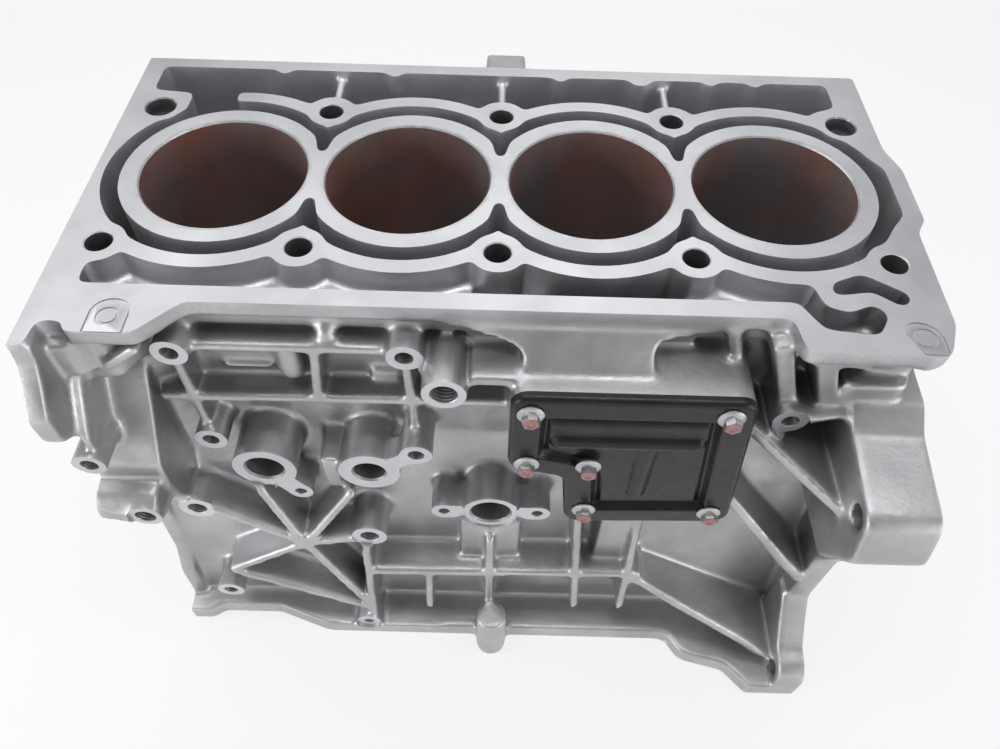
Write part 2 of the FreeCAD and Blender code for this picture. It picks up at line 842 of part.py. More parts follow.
bolt_columns = [
    rod(
        f"bolt_column_{number}",
        "level",
        (str(x), str(y), None),
        f"{DECK} - Sizes.jacket_depth",
        "Sizes.head_bolt_boss / 2",
        "Sizes.jacket_depth",
    )
    for number, (x, y) in enumerate(bolt_places, start=1)
]
barrel_webs = [
    block(
        f"barrel_web_{number}",
        (f"{x} - 6", "-0.5 * Sizes.barrel_web", f"{DECK} - Sizes.jacket_depth"),
        (f"{x} + 6", "0.5 * Sizes.barrel_web", DECK),
    )
    for number, x in enumerate(bearings[1:-1], start=1)
]
notches = [
    prism(
        f"barrel_notch_{number}_{'front' if side < 0 else 'back'}",
        "level",
        [
            (x - sheet.barrel_notch / 2, side * sheet.barrel_web / 2),
            (x + sheet.barrel_notch / 2, side * sheet.barrel_web / 2),
            (x + 4.5, side * 28.0),
            (x - 4.5, side * 28.0),
        ],
        f"{DECK} - Sizes.jacket_depth",
        "Sizes.jacket_depth",
    )
    for number, x in enumerate(bearings[1:-1], start=1)
    for side in (-1, 1)
]
barrel_core = cut("barrel_core", fused("barrel_group", barrels + barrel_webs), fused("notch_group", notches))
island_group = fused("jacket_islands", [barrel_core] + bolt_columns)
jacket = cut("jacket", fused("jacket_group", jacket_rings + [jacket_end]), island_group)

# Land round the jacket, which the front pocket and the back chamber leave standing
LAND_FOOT = f"{DECK} - Sizes.drain_depth - 6"
lands = [
    rod(f"land_{number}", "level", (str(x), "0", None), LAND_FOOT, LAND, "Sizes.drain_depth + 6")
    for number, x in enumerate(bores, start=1)
]
land_columns = [
    rod(
        f"land_column_{number}",
        "level",
        (str(x), str(y), None),
        LAND_FOOT,
        "Sizes.head_bolt_boss / 2 + 0.5",
        "Sizes.drain_depth + 6",
    )
    for number, (x, y) in enumerate(bolt_places, start=1)
]
chamber_ribs = [
    block(
        f"chamber_rib_{number}",
        (f"{x} - 0.5 * Sizes.chamber_rib", "50", LAND_FOOT),
        (f"{x} + 0.5 * Sizes.chamber_rib", str(chamber_y + 1), f"{DECK} - 4"),
    )
    for number, x in enumerate(bearings[1:-1], start=1)
]
land_group = fused("land_group", lands + land_columns + chamber_ribs)
chamber_outline = [
    (station(-1.5, -49.0), chamber_y),
    (station(-1.5, -49.0), 62.0),
    (station(-1.5, -30.0), 60.0),
    (station(-1.5, -22.0), 44.0),
    (station(1.5, 22.0), 44.0),
    (station(1.5, 30.0), 58.0),
    (station(1.5, 42.0), 63.0),
    (station(1.5, 42.0), chamber_y),
]
chamber_solid = prism(
    "chamber_solid", "level", chamber_outline, f"{DECK} - Sizes.rear_chamber_depth", "Sizes.rear_chamber_depth"
)
pocket_outline = [
    (station(-1.5, -43.0), -52.0),
    (station(-1.5, -43.0), pocket_y),
    (station(1.5, -4.0), pocket_y, 3.0),
    (station(1.5, 4.0), -85.5, 4.0),
    (station(1.5, 25.0), -88.0, 4.0),
    (station(1.5, 31.5), -77.5, 3.5),
    (station(1.5, 27.0), -71.5, 3.5),
    (station(1.5, 16.0), -76.5, 5.0),
    (station(1.5, 7.0), -73.5, 4.0),
    (station(1.5, 4.0), -62.0, 4.0),
    (station(1.5, -6.0), -52.0),
]
pocket_solid = prism(
    "pocket_solid", "level", pocket_outline, f"{DECK} - Sizes.front_pocket_depth", "Sizes.front_pocket_depth"
)


def drain_hollow(name, start, end, depth):
    """A deeper length of the front pocket, between two places along the crankshaft."""
    corners = [(start, -50.0), (start, pocket_y), (end, pocket_y), (end, -50.0)]
    return prism(name, "level", corners, f"{DECK} - {depth}", depth)


drain_step = drain_hollow("drain_step", station(0, -10.0), station(0, 18.0), "Sizes.drain_step_depth")
drain_deep = drain_hollow("drain_deep", station(0, 16.0), station(1, -4.0), "Sizes.drain_depth")
outer_hollows = cut(
    "outer_hollows", fused("hollow_group", [chamber_solid, pocket_solid, drain_step, drain_deep]), land_group
)
slot_outline = [
    (station(1.5, 11.0), -67.5, 2.0),
    (station(1.5, 13.0), -60.0, 3.0),
    (station(1.5, 26.0), -54.5, 4.0),
    (station(1.5, 44.5), -66.5, 3.5),
    (station(1.5, 39.0), -73.0, 3.0),
    (station(1.5, 28.0), -64.5, 5.0),
]
return_slot = prism(
    "return_slot", "level", slot_outline, f"{DECK} - Sizes.return_slot_depth", "Sizes.return_slot_depth"
)
chamber_mouth = prism(
    "chamber_mouth",
    "level",
    [
        (station(-1.5, -28.0), 64.0),
        (station(-1.5, -6.0), 64.0),
        (station(-1.5, -6.0), 50.0),
        (station(-1.5, -29.0), 42.0),
    ],
    f"{DECK} - Sizes.rear_chamber_depth",
    "Sizes.rear_chamber_depth",
)


# Crank bays between the bulkheads: straight skirt walls under a round roof
def bay(name, start, length):
    """A crank bay as an extruded section with an arc for its roof."""
    low = -skirt_back[0][0] + 2 + sheet.skirt_wall
    shoulder = math.sqrt(sheet.crank_sweep**2 - 30.0**2)
    left = [(low, rail_z), (low, -24.0), (low + 4.5, 14.0), (-shoulder, 30.0)]
    points = [Vector(y, z, 0) for y, z in left]
    mirrored = [Vector(-y, z, 0) for y, z in left]
    lines = [Part.LineSegment(a, b) for a, b in zip(points, points[1:])]
    lines += [Part.LineSegment(a, b) for a, b in zip(mirrored[::-1], mirrored[-2::-1])]
    lines.append(Part.Arc(points[-1], Vector(0, sheet.crank_sweep, 0), mirrored[-1]))
    lines.append(Part.LineSegment(mirrored[0], points[0]))
    sketch = document.addObject("Sketcher::SketchObject", name + "_outline")
    sketch.Placement = Placement(Vector(), ENDWAYS)
    sketch.addGeometry(lines, False)
    sketch.setExpression("Placement.Base.x", start)
    body = document.addObject("Part::Extrusion", name)
    body.Base = sketch
    body.DirMode = "Normal"
    body.Solid = True
    body.setExpression("LengthFwd", length)
    return body


bays = [
    bay(
        f"crank_bay_{number}",
        f"{x} - (Sizes.bore_pitch - Sizes.bulkhead_thickness) / 2",
        "Sizes.bore_pitch - Sizes.bulkhead_thickness",
    )
    for number, x in enumerate(bores, start=1)
]

# Cap seats, the line bore through the bulkheads and the recess for the rear seal
SEAT_FRONT = "-0.5 * Sizes.cap_span"
SEAT_BACK = "0.5 * Sizes.cap_span"
slot_ends = [(f"{x} - Sizes.bulkhead_thickness", f"{x} + Sizes.bulkhead_thickness") for x in bearings]
slot_ends[0] = (f"{TIMING} - 1", slot_ends[0][1])
slot_ends[-1] = (slot_ends[-1][0], f"{BELL} + 1")
cap_slots = [
    block(f"cap_slot_{number}", (start, SEAT_FRONT, f"{RAIL} - 1"), (end, SEAT_BACK, "0"))
    for number, (start, end) in enumerate(slot_ends, start=1)
]
line_bore = rod(
    "line_bore", "endways", (None, "0", "0"), f"{TIMING} - 1", "Sizes.main_bore / 2", f"{BELL} - ({TIMING}) + 2"
)
seal_recess = rod(
    "seal_recess",
    "endways",
    (None, "0", "0"),
    f"{BELL} - Sizes.seal_depth",
    "Sizes.seal_bore / 2",
    "Sizes.seal_depth + 1",
)

# Drilled holes
head_drills = [
    rod(
        f"head_drill_{number}",
        "level",
        (str(x), str(y), None),
        f"{DECK} - Sizes.head_bolt_depth",
        "Sizes.head_bolt_drill / 2",
        "Sizes.head_bolt_depth",
    )
    for number, (x, y) in enumerate(bolt_places, start=1)
]
cap_drills = [
    rod(
        f"cap_drill_{number}_{'front' if side < 0 else 'back'}",
        "level",
        (str(x), f"{side} * 0.5 * Sizes.cap_bolt_spread", None),
        "-1",
        "Sizes.cap_bolt_thread / 2",
        "Sizes.cap_bolt_reach + 1",
    )
    for number, x in enumerate(bearings, start=1)
    for side in (-1, 1)
]
bore_drills = [
    rod(
        f"liner_seat_{number}",
        "level",
        (str(x), "0", None),
        f"{DECK} - Sizes.liner_length - 30",
        "Sizes.bore_diameter / 2 + Sizes.liner_wall",
        "Sizes.liner_length + 30",
    )
    for number, x in enumerate(bores, start=1)
]
bell_holes = [(-133.0, 142.0), (-138.0, -38.0), (122.0, 136.0), (130.0, -20.0)]
bell_drills = [
    rod(
        f"bell_hole_{number}",
        "endways",
        (None, str(y), str(z)),
        f"{BELL} - Sizes.bell_corner_length - 1",
        "Sizes.bell_bolt_hole / 2",
        "Sizes.bell_corner_length + 2",
    )
    for number, (y, z) in enumerate(bell_holes, start=1)
]
gallery_y = 74.0
gallery_z = 62.0
gallery = rod(
    "oil_gallery",
    "endways",
    (None, str(gallery_y), str(gallery_z)),
    f"{BELL} - Sizes.bell_recess - Sizes.gallery_depth",
    "Sizes.gallery_bore / 2",
    "Sizes.gallery_depth",
)

hollows = fused(
    "casting_hollows",
    [jacket, outer_hollows, return_slot, chamber_mouth, breather_chamber, timing_pocket, bell_pocket]
    + bays
    + cap_slots
    + [line_bore, seal_recess, gallery]
    + head_drills
    + cap_drills
    + bore_drills
    + bell_drills
    + boss_drills,
)
block_casting = cut("block_casting", solid, hollows)
block_casting.Refine = True

parts = {"block_casting": block_casting}


def body_of(name):
    """A new body with its sketch planes."""
    body = document.addObject("PartDesign::Body", name)
    parts[name] = body
    return body


def sketch_in(body, name, role, geometry, offset=None):
    """A sketch on one of the body's own planes, moved along the plane's normal by an expression."""
    sketch = body.newObject("Sketcher::SketchObject", name)
    plane = next(item for item in body.Origin.OriginFeatures if item.Role == role)
    sketch.AttachmentSupport = [(plane, "")]
    sketch.MapMode = "FlatFace"
    if offset:
        sketch.setExpression("AttachmentOffset.Base.z", offset)
    sketch.addGeometry(geometry, False)
    return sketch


def pad(body, name, sketch, length, backwards=False):
    """Extrude a sketch by a length given as an expression."""
    feature = body.newObject("PartDesign::Pad", name)
    feature.Profile = sketch
    feature.Reversed = backwards
    feature.setExpression("Length", length)
    return feature


def pocket(body, name, sketch, length, backwards=False):
    """Cut a sketch out over a length given as an expression."""
    feature = body.newObject("PartDesign::Pocket", name)
    feature.Profile = sketch
    feature.Reversed = backwards
    feature.setExpression("Length", length)
    return feature


def circle(x, y, radius):
    """A full circle for a sketch."""
    return Part.Circle(Vector(x, y, 0), Vector(0, 0, 1), radius)


def hexagon(across_flats):
    """Outline of a hexagon round the sketch's origin."""
    corner = across_flats / math.sqrt(3)
    turns = [math.radians(60 * turn) for turn in range(6)]
    return outline([(corner * math.cos(turn), corner * math.sin(turn)) for turn in turns])


# Iron liners, turned, with their top faces level with the deck
for number, x in enumerate(bores, start=1):
    liner = body_of(f"cylinder_liner_{number}")
    inner = sheet.bore_diameter / 2
    wall = [
        (inner, -sheet.liner_length),
        (liner_radius, -sheet.liner_length),
        (liner_radius, 0.0),
        (inner, 0.0),
    ]
    section = sketch_in(liner, f"liner_section_{number}", "XZ_Plane", outline(wall))
    turned = liner.newObject("PartDesign::Revolution", f"liner_turned_{number}")
    turned.Profile = section
    turned.ReferenceAxis = (section, ["V_Axis"])
    turned.Angle = 360.0
    liner.setExpression("Placement.Base.x", f"{number - 2.5} * Sizes.bore_pitch")
    liner.setExpression("Placement.Base.z", DECK)

# Main bearing caps with a flat shoulder under each bolt
half_span = sheet.cap_span / 2
cap_half = [
    (-half_span, 0.0),
    (-half_span, -sheet.cap_shoulder),
    (-half_span + 25.0, -sheet.cap_shoulder),
    (-20.0, -sheet.cap_height),
]
cap_profile = cap_half + [(-y, z) for y, z in cap_half[::-1]]
bolt_clearance = sheet.cap_bolt_thread / 2 + sheet.cap_bolt_clearance
for number in range(1, 6):
    cap = body_of(f"main_bearing_cap_{number}")
    start = "-0.5 * Sizes.cap_width"
    face = sketch_in(cap, f"cap_face_{number}", "YZ_Plane", outline(cap_profile), start)
    pad(cap, f"cap_pad_{number}", face, "Sizes.cap_width")
    saddle = sketch_in(cap, f"cap_saddle_{number}", "YZ_Plane", [circle(0, 0, sheet.main_bore / 2)], start)
    pocket(cap, f"cap_bore_{number}", saddle, "Sizes.cap_width", True)
    rings = [circle(0, side * sheet.cap_bolt_spread / 2, bolt_clearance) for side in (-1, 1)]
    holes = sketch_in(cap, f"cap_holes_{number}", "XY_Plane", rings)
    pocket(cap, f"cap_drilled_{number}", holes, "Sizes.cap_height")
    cap.setExpression("Placement.Base.x", f"{number - 3} * Sizes.bore_pitch")

# Cap bolts, each with its seat on the cap's shoulder and its shank up into the bulkhead
for number in range(1, 6):
    for side, word in ((-1, "front"), (1, "back")):
        name = f"main_cap_bolt_{number}_{word}"
        bolt = body_of(name)
        ring = [circle(0, 0, sheet.cap_bolt_thread / 2)]
        shank = sketch_in(bolt, name + "_shank", "XY_Plane", ring)
        pad(bolt, name + "_shank_pad", shank, "Sizes.cap_shoulder + Sizes.cap_bolt_reach - 6")
        head = sketch_in(bolt, name + "_head", "XY_Plane", hexagon(sheet.cap_bolt_head))
        pad(bolt, name + "_head_pad", head, "0.6 * Sizes.cap_bolt_head", True)
        bolt.setExpression("Placement.Base.x", f"{number - 3} * Sizes.bore_pitch")
        bolt.setExpression("Placement.Base.y", f"{side} * 0.5 * Sizes.cap_bolt_spread")
        bolt.setExpression("Placement.Base.z", "-1 * Sizes.cap_shoulder")

# Oil gallery plug at the transmission end, with a hexagon socket
plug = body_of("oil_gallery_plug")
plug_ring = [circle(0, 0, sheet.gallery_bore / 2)]
pad(plug, "plug_pad", sketch_in(plug, "plug_face", "YZ_Plane", plug_ring), "Sizes.plug_length", True)
socket = sketch_in(plug, "plug_socket", "YZ_Plane", hexagon(0.5 * sheet.gallery_bore))
pocket(plug, "plug_socket_cut", socket, "0.5 * Sizes.plug_length")
plug.setExpression("Placement.Base.x", f"{BELL} - Sizes.bell_recess")
plug.Placement.Base.y = gallery_y
plug.Placement.Base.z = gallery_z

# Pressed steel cover on the breather box: a raised hollow rim, a dished panel and a raised tee
SEAT = "Sizes.breather_face"
OUTER = f"{SEAT} + Sizes.cover_rim_height"
cover = body_of("breather_cover")
rim = sketch_in(cover, "cover_rim", "XZ_Plane", outline(cover_outline), SEAT)
pad(cover, "cover_rim_pad", rim, "Sizes.cover_rim_height")
dish_outer = inset([(x, z, 0.0) for x, z, _ in cover_outline], cover_rim + 1.0)
dish_inner = inset([(x, z, 0.0) for x, z, _ in cover_outline], cover_rim + 1.0 + sheet.cover_thickness)
channel_ring = outline(inset(cover_outline, sheet.cover_thickness)) + outline(dish_outer)
channel = sketch_in(cover, "cover_channel", "XZ_Plane", channel_ring, SEAT)
pocket(cover, "cover_channel_cut", channel, "Sizes.cover_rim_height - Sizes.cover_thickness", True)
DISH_DEPTH = "Sizes.cover_dish + Sizes.cover_thickness"
dish = sketch_in(cover, "cover_dish", "XZ_Plane", outline(dish_outer), OUTER)
pad(cover, "cover_dish_pad", dish, DISH_DEPTH, True)
panel = sketch_in(cover, "cover_panel", "XZ_Plane", outline(dish_inner), OUTER)
pocket(cover, "cover_panel_cut", panel, "Sizes.cover_dish")
tee_outline = [
    (station(0, 30.0), box_top - 30.0),
    (station(0, 30.0), box_top - 40.0),
    (station(0.5, 14.0), box_top - 40.0),
    (station(0.5, 14.0), box_top - 82.0),
    (station(0.5, 26.0), box_top - 82.0),
    (station(0.5, 26.0), box_top - 40.0),
    (station(1, 10.0), box_top - 40.0),
    (station(1, 10.0), box_top - 30.0),
]
tee = sketch_in(cover, "cover_tee", "XZ_Plane", outline(tee_outline), f"{OUTER} - Sizes.cover_dish")
pad(cover, "cover_tee_pad", tee, "Sizes.cover_tee")

document.recompute()

# Every object has to be sound before anything is written
for item in document.Objects:
    state = [word for word in item.State if word in ("Invalid", "Error")]
    if state:
        raise RuntimeError(f"{item.Label}: {state}")
for name, item in parts.items():
    if item.Shape.isNull() or not item.Shape.isValid():
        raise RuntimeError(f"{name} has no sound shape")
    if len(item.Shape.Solids) != 1:
        raise RuntimeError(f"{name} has {len(item.Shape.Solids)} solids")

os.makedirs("parts", exist_ok=True)
for name, item in parts.items():
    item.Label = name
    item.Shape.exportStep(f"parts/{name}.step")
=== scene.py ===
"""Looks of an open deck cylinder block: cast skin, machined faces, liners, breather cover and fasteners."""

import logging
import math
from dataclasses import dataclass
from enum import Enum

import bmesh
import bpy
import numpy as np
from mathutils import Matrix


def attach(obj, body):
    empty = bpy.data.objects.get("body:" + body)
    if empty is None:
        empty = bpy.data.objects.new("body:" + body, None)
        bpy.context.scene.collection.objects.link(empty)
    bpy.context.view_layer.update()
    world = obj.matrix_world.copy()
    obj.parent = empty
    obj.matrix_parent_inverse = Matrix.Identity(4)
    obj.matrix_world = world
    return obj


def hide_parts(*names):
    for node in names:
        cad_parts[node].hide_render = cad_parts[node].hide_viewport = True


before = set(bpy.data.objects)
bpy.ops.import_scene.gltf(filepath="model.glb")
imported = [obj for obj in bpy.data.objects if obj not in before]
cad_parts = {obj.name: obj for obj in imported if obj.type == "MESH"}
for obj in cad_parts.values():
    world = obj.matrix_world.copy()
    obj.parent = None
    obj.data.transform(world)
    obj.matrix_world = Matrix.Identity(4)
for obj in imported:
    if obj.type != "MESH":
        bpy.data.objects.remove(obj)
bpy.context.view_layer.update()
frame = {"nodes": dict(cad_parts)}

MM = 0.001
DECK = 207.0
RAIL = -55.0
TIMING = -184.5
BELL = 185.0
PITCH = 84.0
BORES = tuple((number - 1.5) * PITCH for number in range(4))
BEARINGS = tuple((number - 2) * PITCH for number in range(5))
HEAD_BOLT_Y = 47.7
# Share of a thread's full depth that shows, since its crests are rounded and full of oil
THREAD_RELIEF = 0.38

log = logging.getLogger("cylinder_block")
Points = np.ndarray
Place = tuple[float, float, float]
Spot = tuple[float, float]
Colour = tuple[float, float, float]


class Axis(Enum):
    """Direction that a turned shape points along."""

    UP = "up"
    FRONT = "front"
    RIGHT = "right"


# Turned frames: columns are the first and second cross directions and the direction along the axis
FRAMES = {
    Axis.UP: np.array([[1.0, 0.0, 0.0], [0.0, 1.0, 0.0], [0.0, 0.0, 1.0]]),
    Axis.FRONT: np.array([[1.0, 0.0, 0.0], [0.0, 0.0, -1.0], [0.0, 1.0, 0.0]]),
    Axis.RIGHT: np.array([[0.0, 0.0, 1.0], [1.0, 0.0, 0.0], [0.0, 1.0, 0.0]]),
}


# Mesh making


def grid_faces(rows: int, columns: int, wrap_rows: bool = False, wrap_columns: bool = True) -> Points:
    """Quads of a grid of points, row after row.

    Args:
        rows: Count of rings along the profile.
        columns: Count of points round each ring.
        wrap_rows: Joins the last ring to the first.
        wrap_columns: Joins the end of each ring to its start.

    Returns:
        An array of four point numbers for each face.
    """
    row = np.arange(rows if wrap_rows else rows - 1)[:, None]
    column = np.arange(columns if wrap_columns else columns - 1)[None, :]
    next_row = (row + 1) % rows
    next_column = (column + 1) % columns
    corners = (row * columns + column, row * columns + next_column)
    corners += (next_row * columns + next_column, next_row * columns + column)
    return np.stack([np.broadcast_to(c, (row.size, column.size)).ravel() for c in corners], axis=1)


def mesh_from(name: str, points: Points, quads: Points,
              caps: tuple[tuple[int, ...], ...] = ()) -> bpy.types.Mesh:
    """Puts points in millimetres and faces into a new mesh.

    Args:
        name: Name of the mesh.
        points: Array of places in millimetres.
        quads: Faces of four points.
        caps: Further faces of any number of points.

    Returns:
        The mesh, in metres, shaded smooth.
    """
    mesh = bpy.data.meshes.new(name)
    sizes = np.array([4] * len(quads) + [len(cap) for cap in caps], np.int32)
    flat = [np.asarray(quads, np.int32).ravel()] + [np.array(cap, np.int32) for cap in caps]
    corners = np.concatenate(flat)
    mesh.vertices.add(len(points))
    mesh.vertices.foreach_set("co", (np.asarray(points, float) * MM).ravel())
    mesh.loops.add(len(corners))
    mesh.loops.foreach_set("vertex_index", corners)
    mesh.polygons.add(len(sizes))
    mesh.polygons.foreach_set("loop_start", np.concatenate([[0], np.cumsum(sizes)[:-1]]).astype(np.int32))
    mesh.polygons.foreach_set("loop_total", sizes)
    mesh.polygons.foreach_set("use_smooth", np.ones(len(sizes), bool))
    mesh.update(calc_edges=True)
    mesh.validate()
    return mesh


def circle_angles(segments: int) -> Points:
    """Even angles round a full circle."""
    return np.linspace(0.0, 2.0 * math.pi, segments, endpoint=False)


def ringed(name: str, radius: Points, height: Points, angle: Points, place: Place,
           axis: Axis) -> bpy.types.Mesh:
    """A closed solid of rings, turned so that the heights run along the axis.

    A point of a ring is (radius times cosine of the angle, radius times its sine, height).

    Args:
        name: Name of the mesh.
        radius: Radii, a row for each ring.
        height: Height of each ring, as a column.
        angle: Angle of each point of a ring.
        place: Where the origin of the rings is.
        axis: Direction of the heights.

    Returns:
        The mesh, with flat ends.
    """
    local = np.stack(np.broadcast_arrays(radius * np.cos(angle), radius * np.sin(angle), height), axis=2)
    points = local.reshape(-1, 3) @ FRAMES[axis].T + np.array(place)
    rings, segments = local.shape[:2]
    last = (rings - 1) * segments
    caps = (tuple(range(segments - 1, -1, -1)), tuple(range(last, last + segments)))
    return mesh_from(name, points, grid_faces(rings, segments), caps)


def turned(name: str, profile: list[Spot], place: Place, axis: Axis,
           segments: int = 48) -> bpy.types.Mesh:
    """A closed turned solid: each profile point (radius, height) goes round the axis at its radius.

    Args:
        name: Name of the mesh.
        profile: Radii and heights from the lower end to the upper end, in millimetres.
        place: Where the profile's origin is.
        axis: Direction of the heights.
        segments: Points round each ring.

    Returns:
        The mesh, with flat ends.
    """
    radius, height = np.array(profile, float).T
    return ringed(name, radius[:, None], height[:, None], circle_angles(segments), place, axis)


def slab(name: str, low: Place, high: Place) -> bpy.types.Mesh:
    """A box between two corners in millimetres."""
    rings = np.array([[low[0], low[1]], [high[0], low[1]], [high[0], high[1]], [low[0], high[1]]])
    points = np.concatenate([np.column_stack([rings, np.full(4, z)]) for z in (low[2], high[2])])
    return mesh_from(name, points, grid_faces(2, 4), ((3, 2, 1, 0), (4, 5, 6, 7)))


def prism(name: str, outline: Points, start: float, end: float, axis: Axis = Axis.FRONT) -> bpy.types.Mesh:
    """A closed outline carried straight along an axis, from a start to an end distance."""
    count = len(outline)
    local = np.concatenate([np.column_stack([outline, np.full(count, far)]) for far in (start, end)])
    caps = (tuple(range(count - 1, -1, -1)), tuple(range(count, 2 * count)))
    return mesh_from(name, local @ FRAMES[axis].T, grid_faces(2, count), caps)


def threaded(name: str, minor: float, major: float, pitch: float, depth: float, place: Place,
             axis: Axis, segments: int = 20) -> bpy.types.Mesh:
    """A screw shape for cutting a tapped hole.

    The radius at height h and angle a swings between minor and major as a triangle wave of
    h / pitch minus a / (full turn), which is a helix. The mouth opens out as a chamfer.

    Args:
        name: Name of the mesh.
        minor: Radius of the thread's crests.
        major: Radius of its roots.
        pitch: Height of one turn.
        depth: Depth below the face.
        place: Middle of the mouth.
        axis: Direction out of the hole.
        segments: Points round each ring.

    Returns:
        A closed mesh that reaches 4 mm out of the hole.
    """
    reach = 4.0
    height = np.arange(-depth, pitch * 0.5, pitch / 4.0)
    angle = circle_angles(segments)
    turn = height[:, None] / pitch - angle[None, :] / (2.0 * math.pi)
    wave = np.abs(2.0 * (turn - np.floor(turn)) - 1.0)
    radius = major - (major - minor) * THREAD_RELIEF * wave
    mouth = major + 0.1
    radius = np.maximum(radius, mouth + np.minimum(height, 0.0)[:, None])
    radius[0, :] = minor * 0.4
    radius = np.vstack([radius, np.full(segments, mouth)])
    return ringed(name, radius, np.append(height, reach)[:, None], angle, place, axis)


def rounded_outline(corners: list[Place], steps: int = 8) -> Points:
    """A closed outline whose corners (x, z, radius) are rounded by arcs of a few points each."""
    places = np.array([corner[:2] for corner in corners], float)
    pieces = []
    for index, (x, z, radius) in enumerate(corners):
        here = np.array([x, z])
        before = places[index - 1] - here
        after = places[(index + 1) % len(corners)] - here
        before /= np.linalg.norm(before)
        after /= np.linalg.norm(after)
        half = math.acos(float(np.clip(before @ after, -1.0, 1.0))) / 2.0
        bisector = (before + after) / np.linalg.norm(before + after)
        centre = here + bisector * radius / math.sin(half)
        first = here + before * radius / math.tan(half) - centre
        last = here + after * radius / math.tan(half) - centre
        start = math.atan2(first[1], first[0])
        sweep = math.remainder(math.atan2(last[1], last[0]) - start, 2.0 * math.pi)
        angle = start + sweep * np.linspace(0.0, 1.0, steps)
        pieces.append(centre + radius * np.column_stack([np.cos(angle), np.sin(angle)]))
    return np.concatenate(pieces)


def joined(name: str, meshes: list[bpy.types.Mesh]) -> bpy.types.Mesh:
    """One mesh from several."""
    gathered = bmesh.new()
    for mesh in meshes:
        gathered.from_mesh(mesh)
        bpy.data.meshes.remove(mesh)
    result = bpy.data.meshes.new(name)
    gathered.to_mesh(result)
    gathered.free()
    return result


def new_object(name: str, mesh: bpy.types.Mesh) -> bpy.types.Object:
    """Links a mesh into the scene as an object at the origin."""
    piece = bpy.data.objects.new(name, mesh)
    bpy.context.scene.collection.objects.link(piece)
    return piece


def settle(piece: bpy.types.Object) -> None:
    """Works an object's modifiers into its mesh."""
    graph = bpy.context.evaluated_depsgraph_get()
    mesh = bpy.data.meshes.new_from_object(piece.evaluated_get(graph))
    piece.modifiers.clear()
    old = piece.data
    piece.data = mesh
    bpy.data.meshes.remove(old)


def read_points(mesh: bpy.types.Mesh) -> Points:
    """The mesh's points as an array of rows, in metres."""
    points = np.empty(len(mesh.vertices) * 3)
    mesh.vertices.foreach_get("co", points)
    return points.reshape(-1, 3)


def write_points(mesh: bpy.types.Mesh, points: Points) -> None:
    """Puts an array of rows back as the mesh's points."""
    mesh.vertices.foreach_set("co", points.ravel())
    mesh.update()


def read_faces(mesh: bpy.types.Mesh, field: str) -> Points:
    """One of the vectors that each face has, its center or its normal, as an array of rows."""
    values = np.empty(len(mesh.polygons) * 3)
    mesh.polygons.foreach_get(field, values)
    return values.reshape(-1, 3)


def face_outwards(mesh: bpy.types.Mesh) -> None:
    """Turns the faces of a closed mesh outwards."""
    work = bmesh.new()
    work.from_mesh(mesh)
    bmesh.ops.recalc_face_normals(work, faces=work.faces)
    work.to_mesh(mesh)
    work.free()


def place_piece(piece: bpy.types.Object, replaced: tuple[str, ...] = ()) -> None:
    """Lets a piece ride on the block and hides what it stands for."""
    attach(piece, "root")
    if replaced:
        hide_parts(*replaced)
    log.info("%s: %d vertices", piece.name, len(piece.data.vertices))


# Finishes


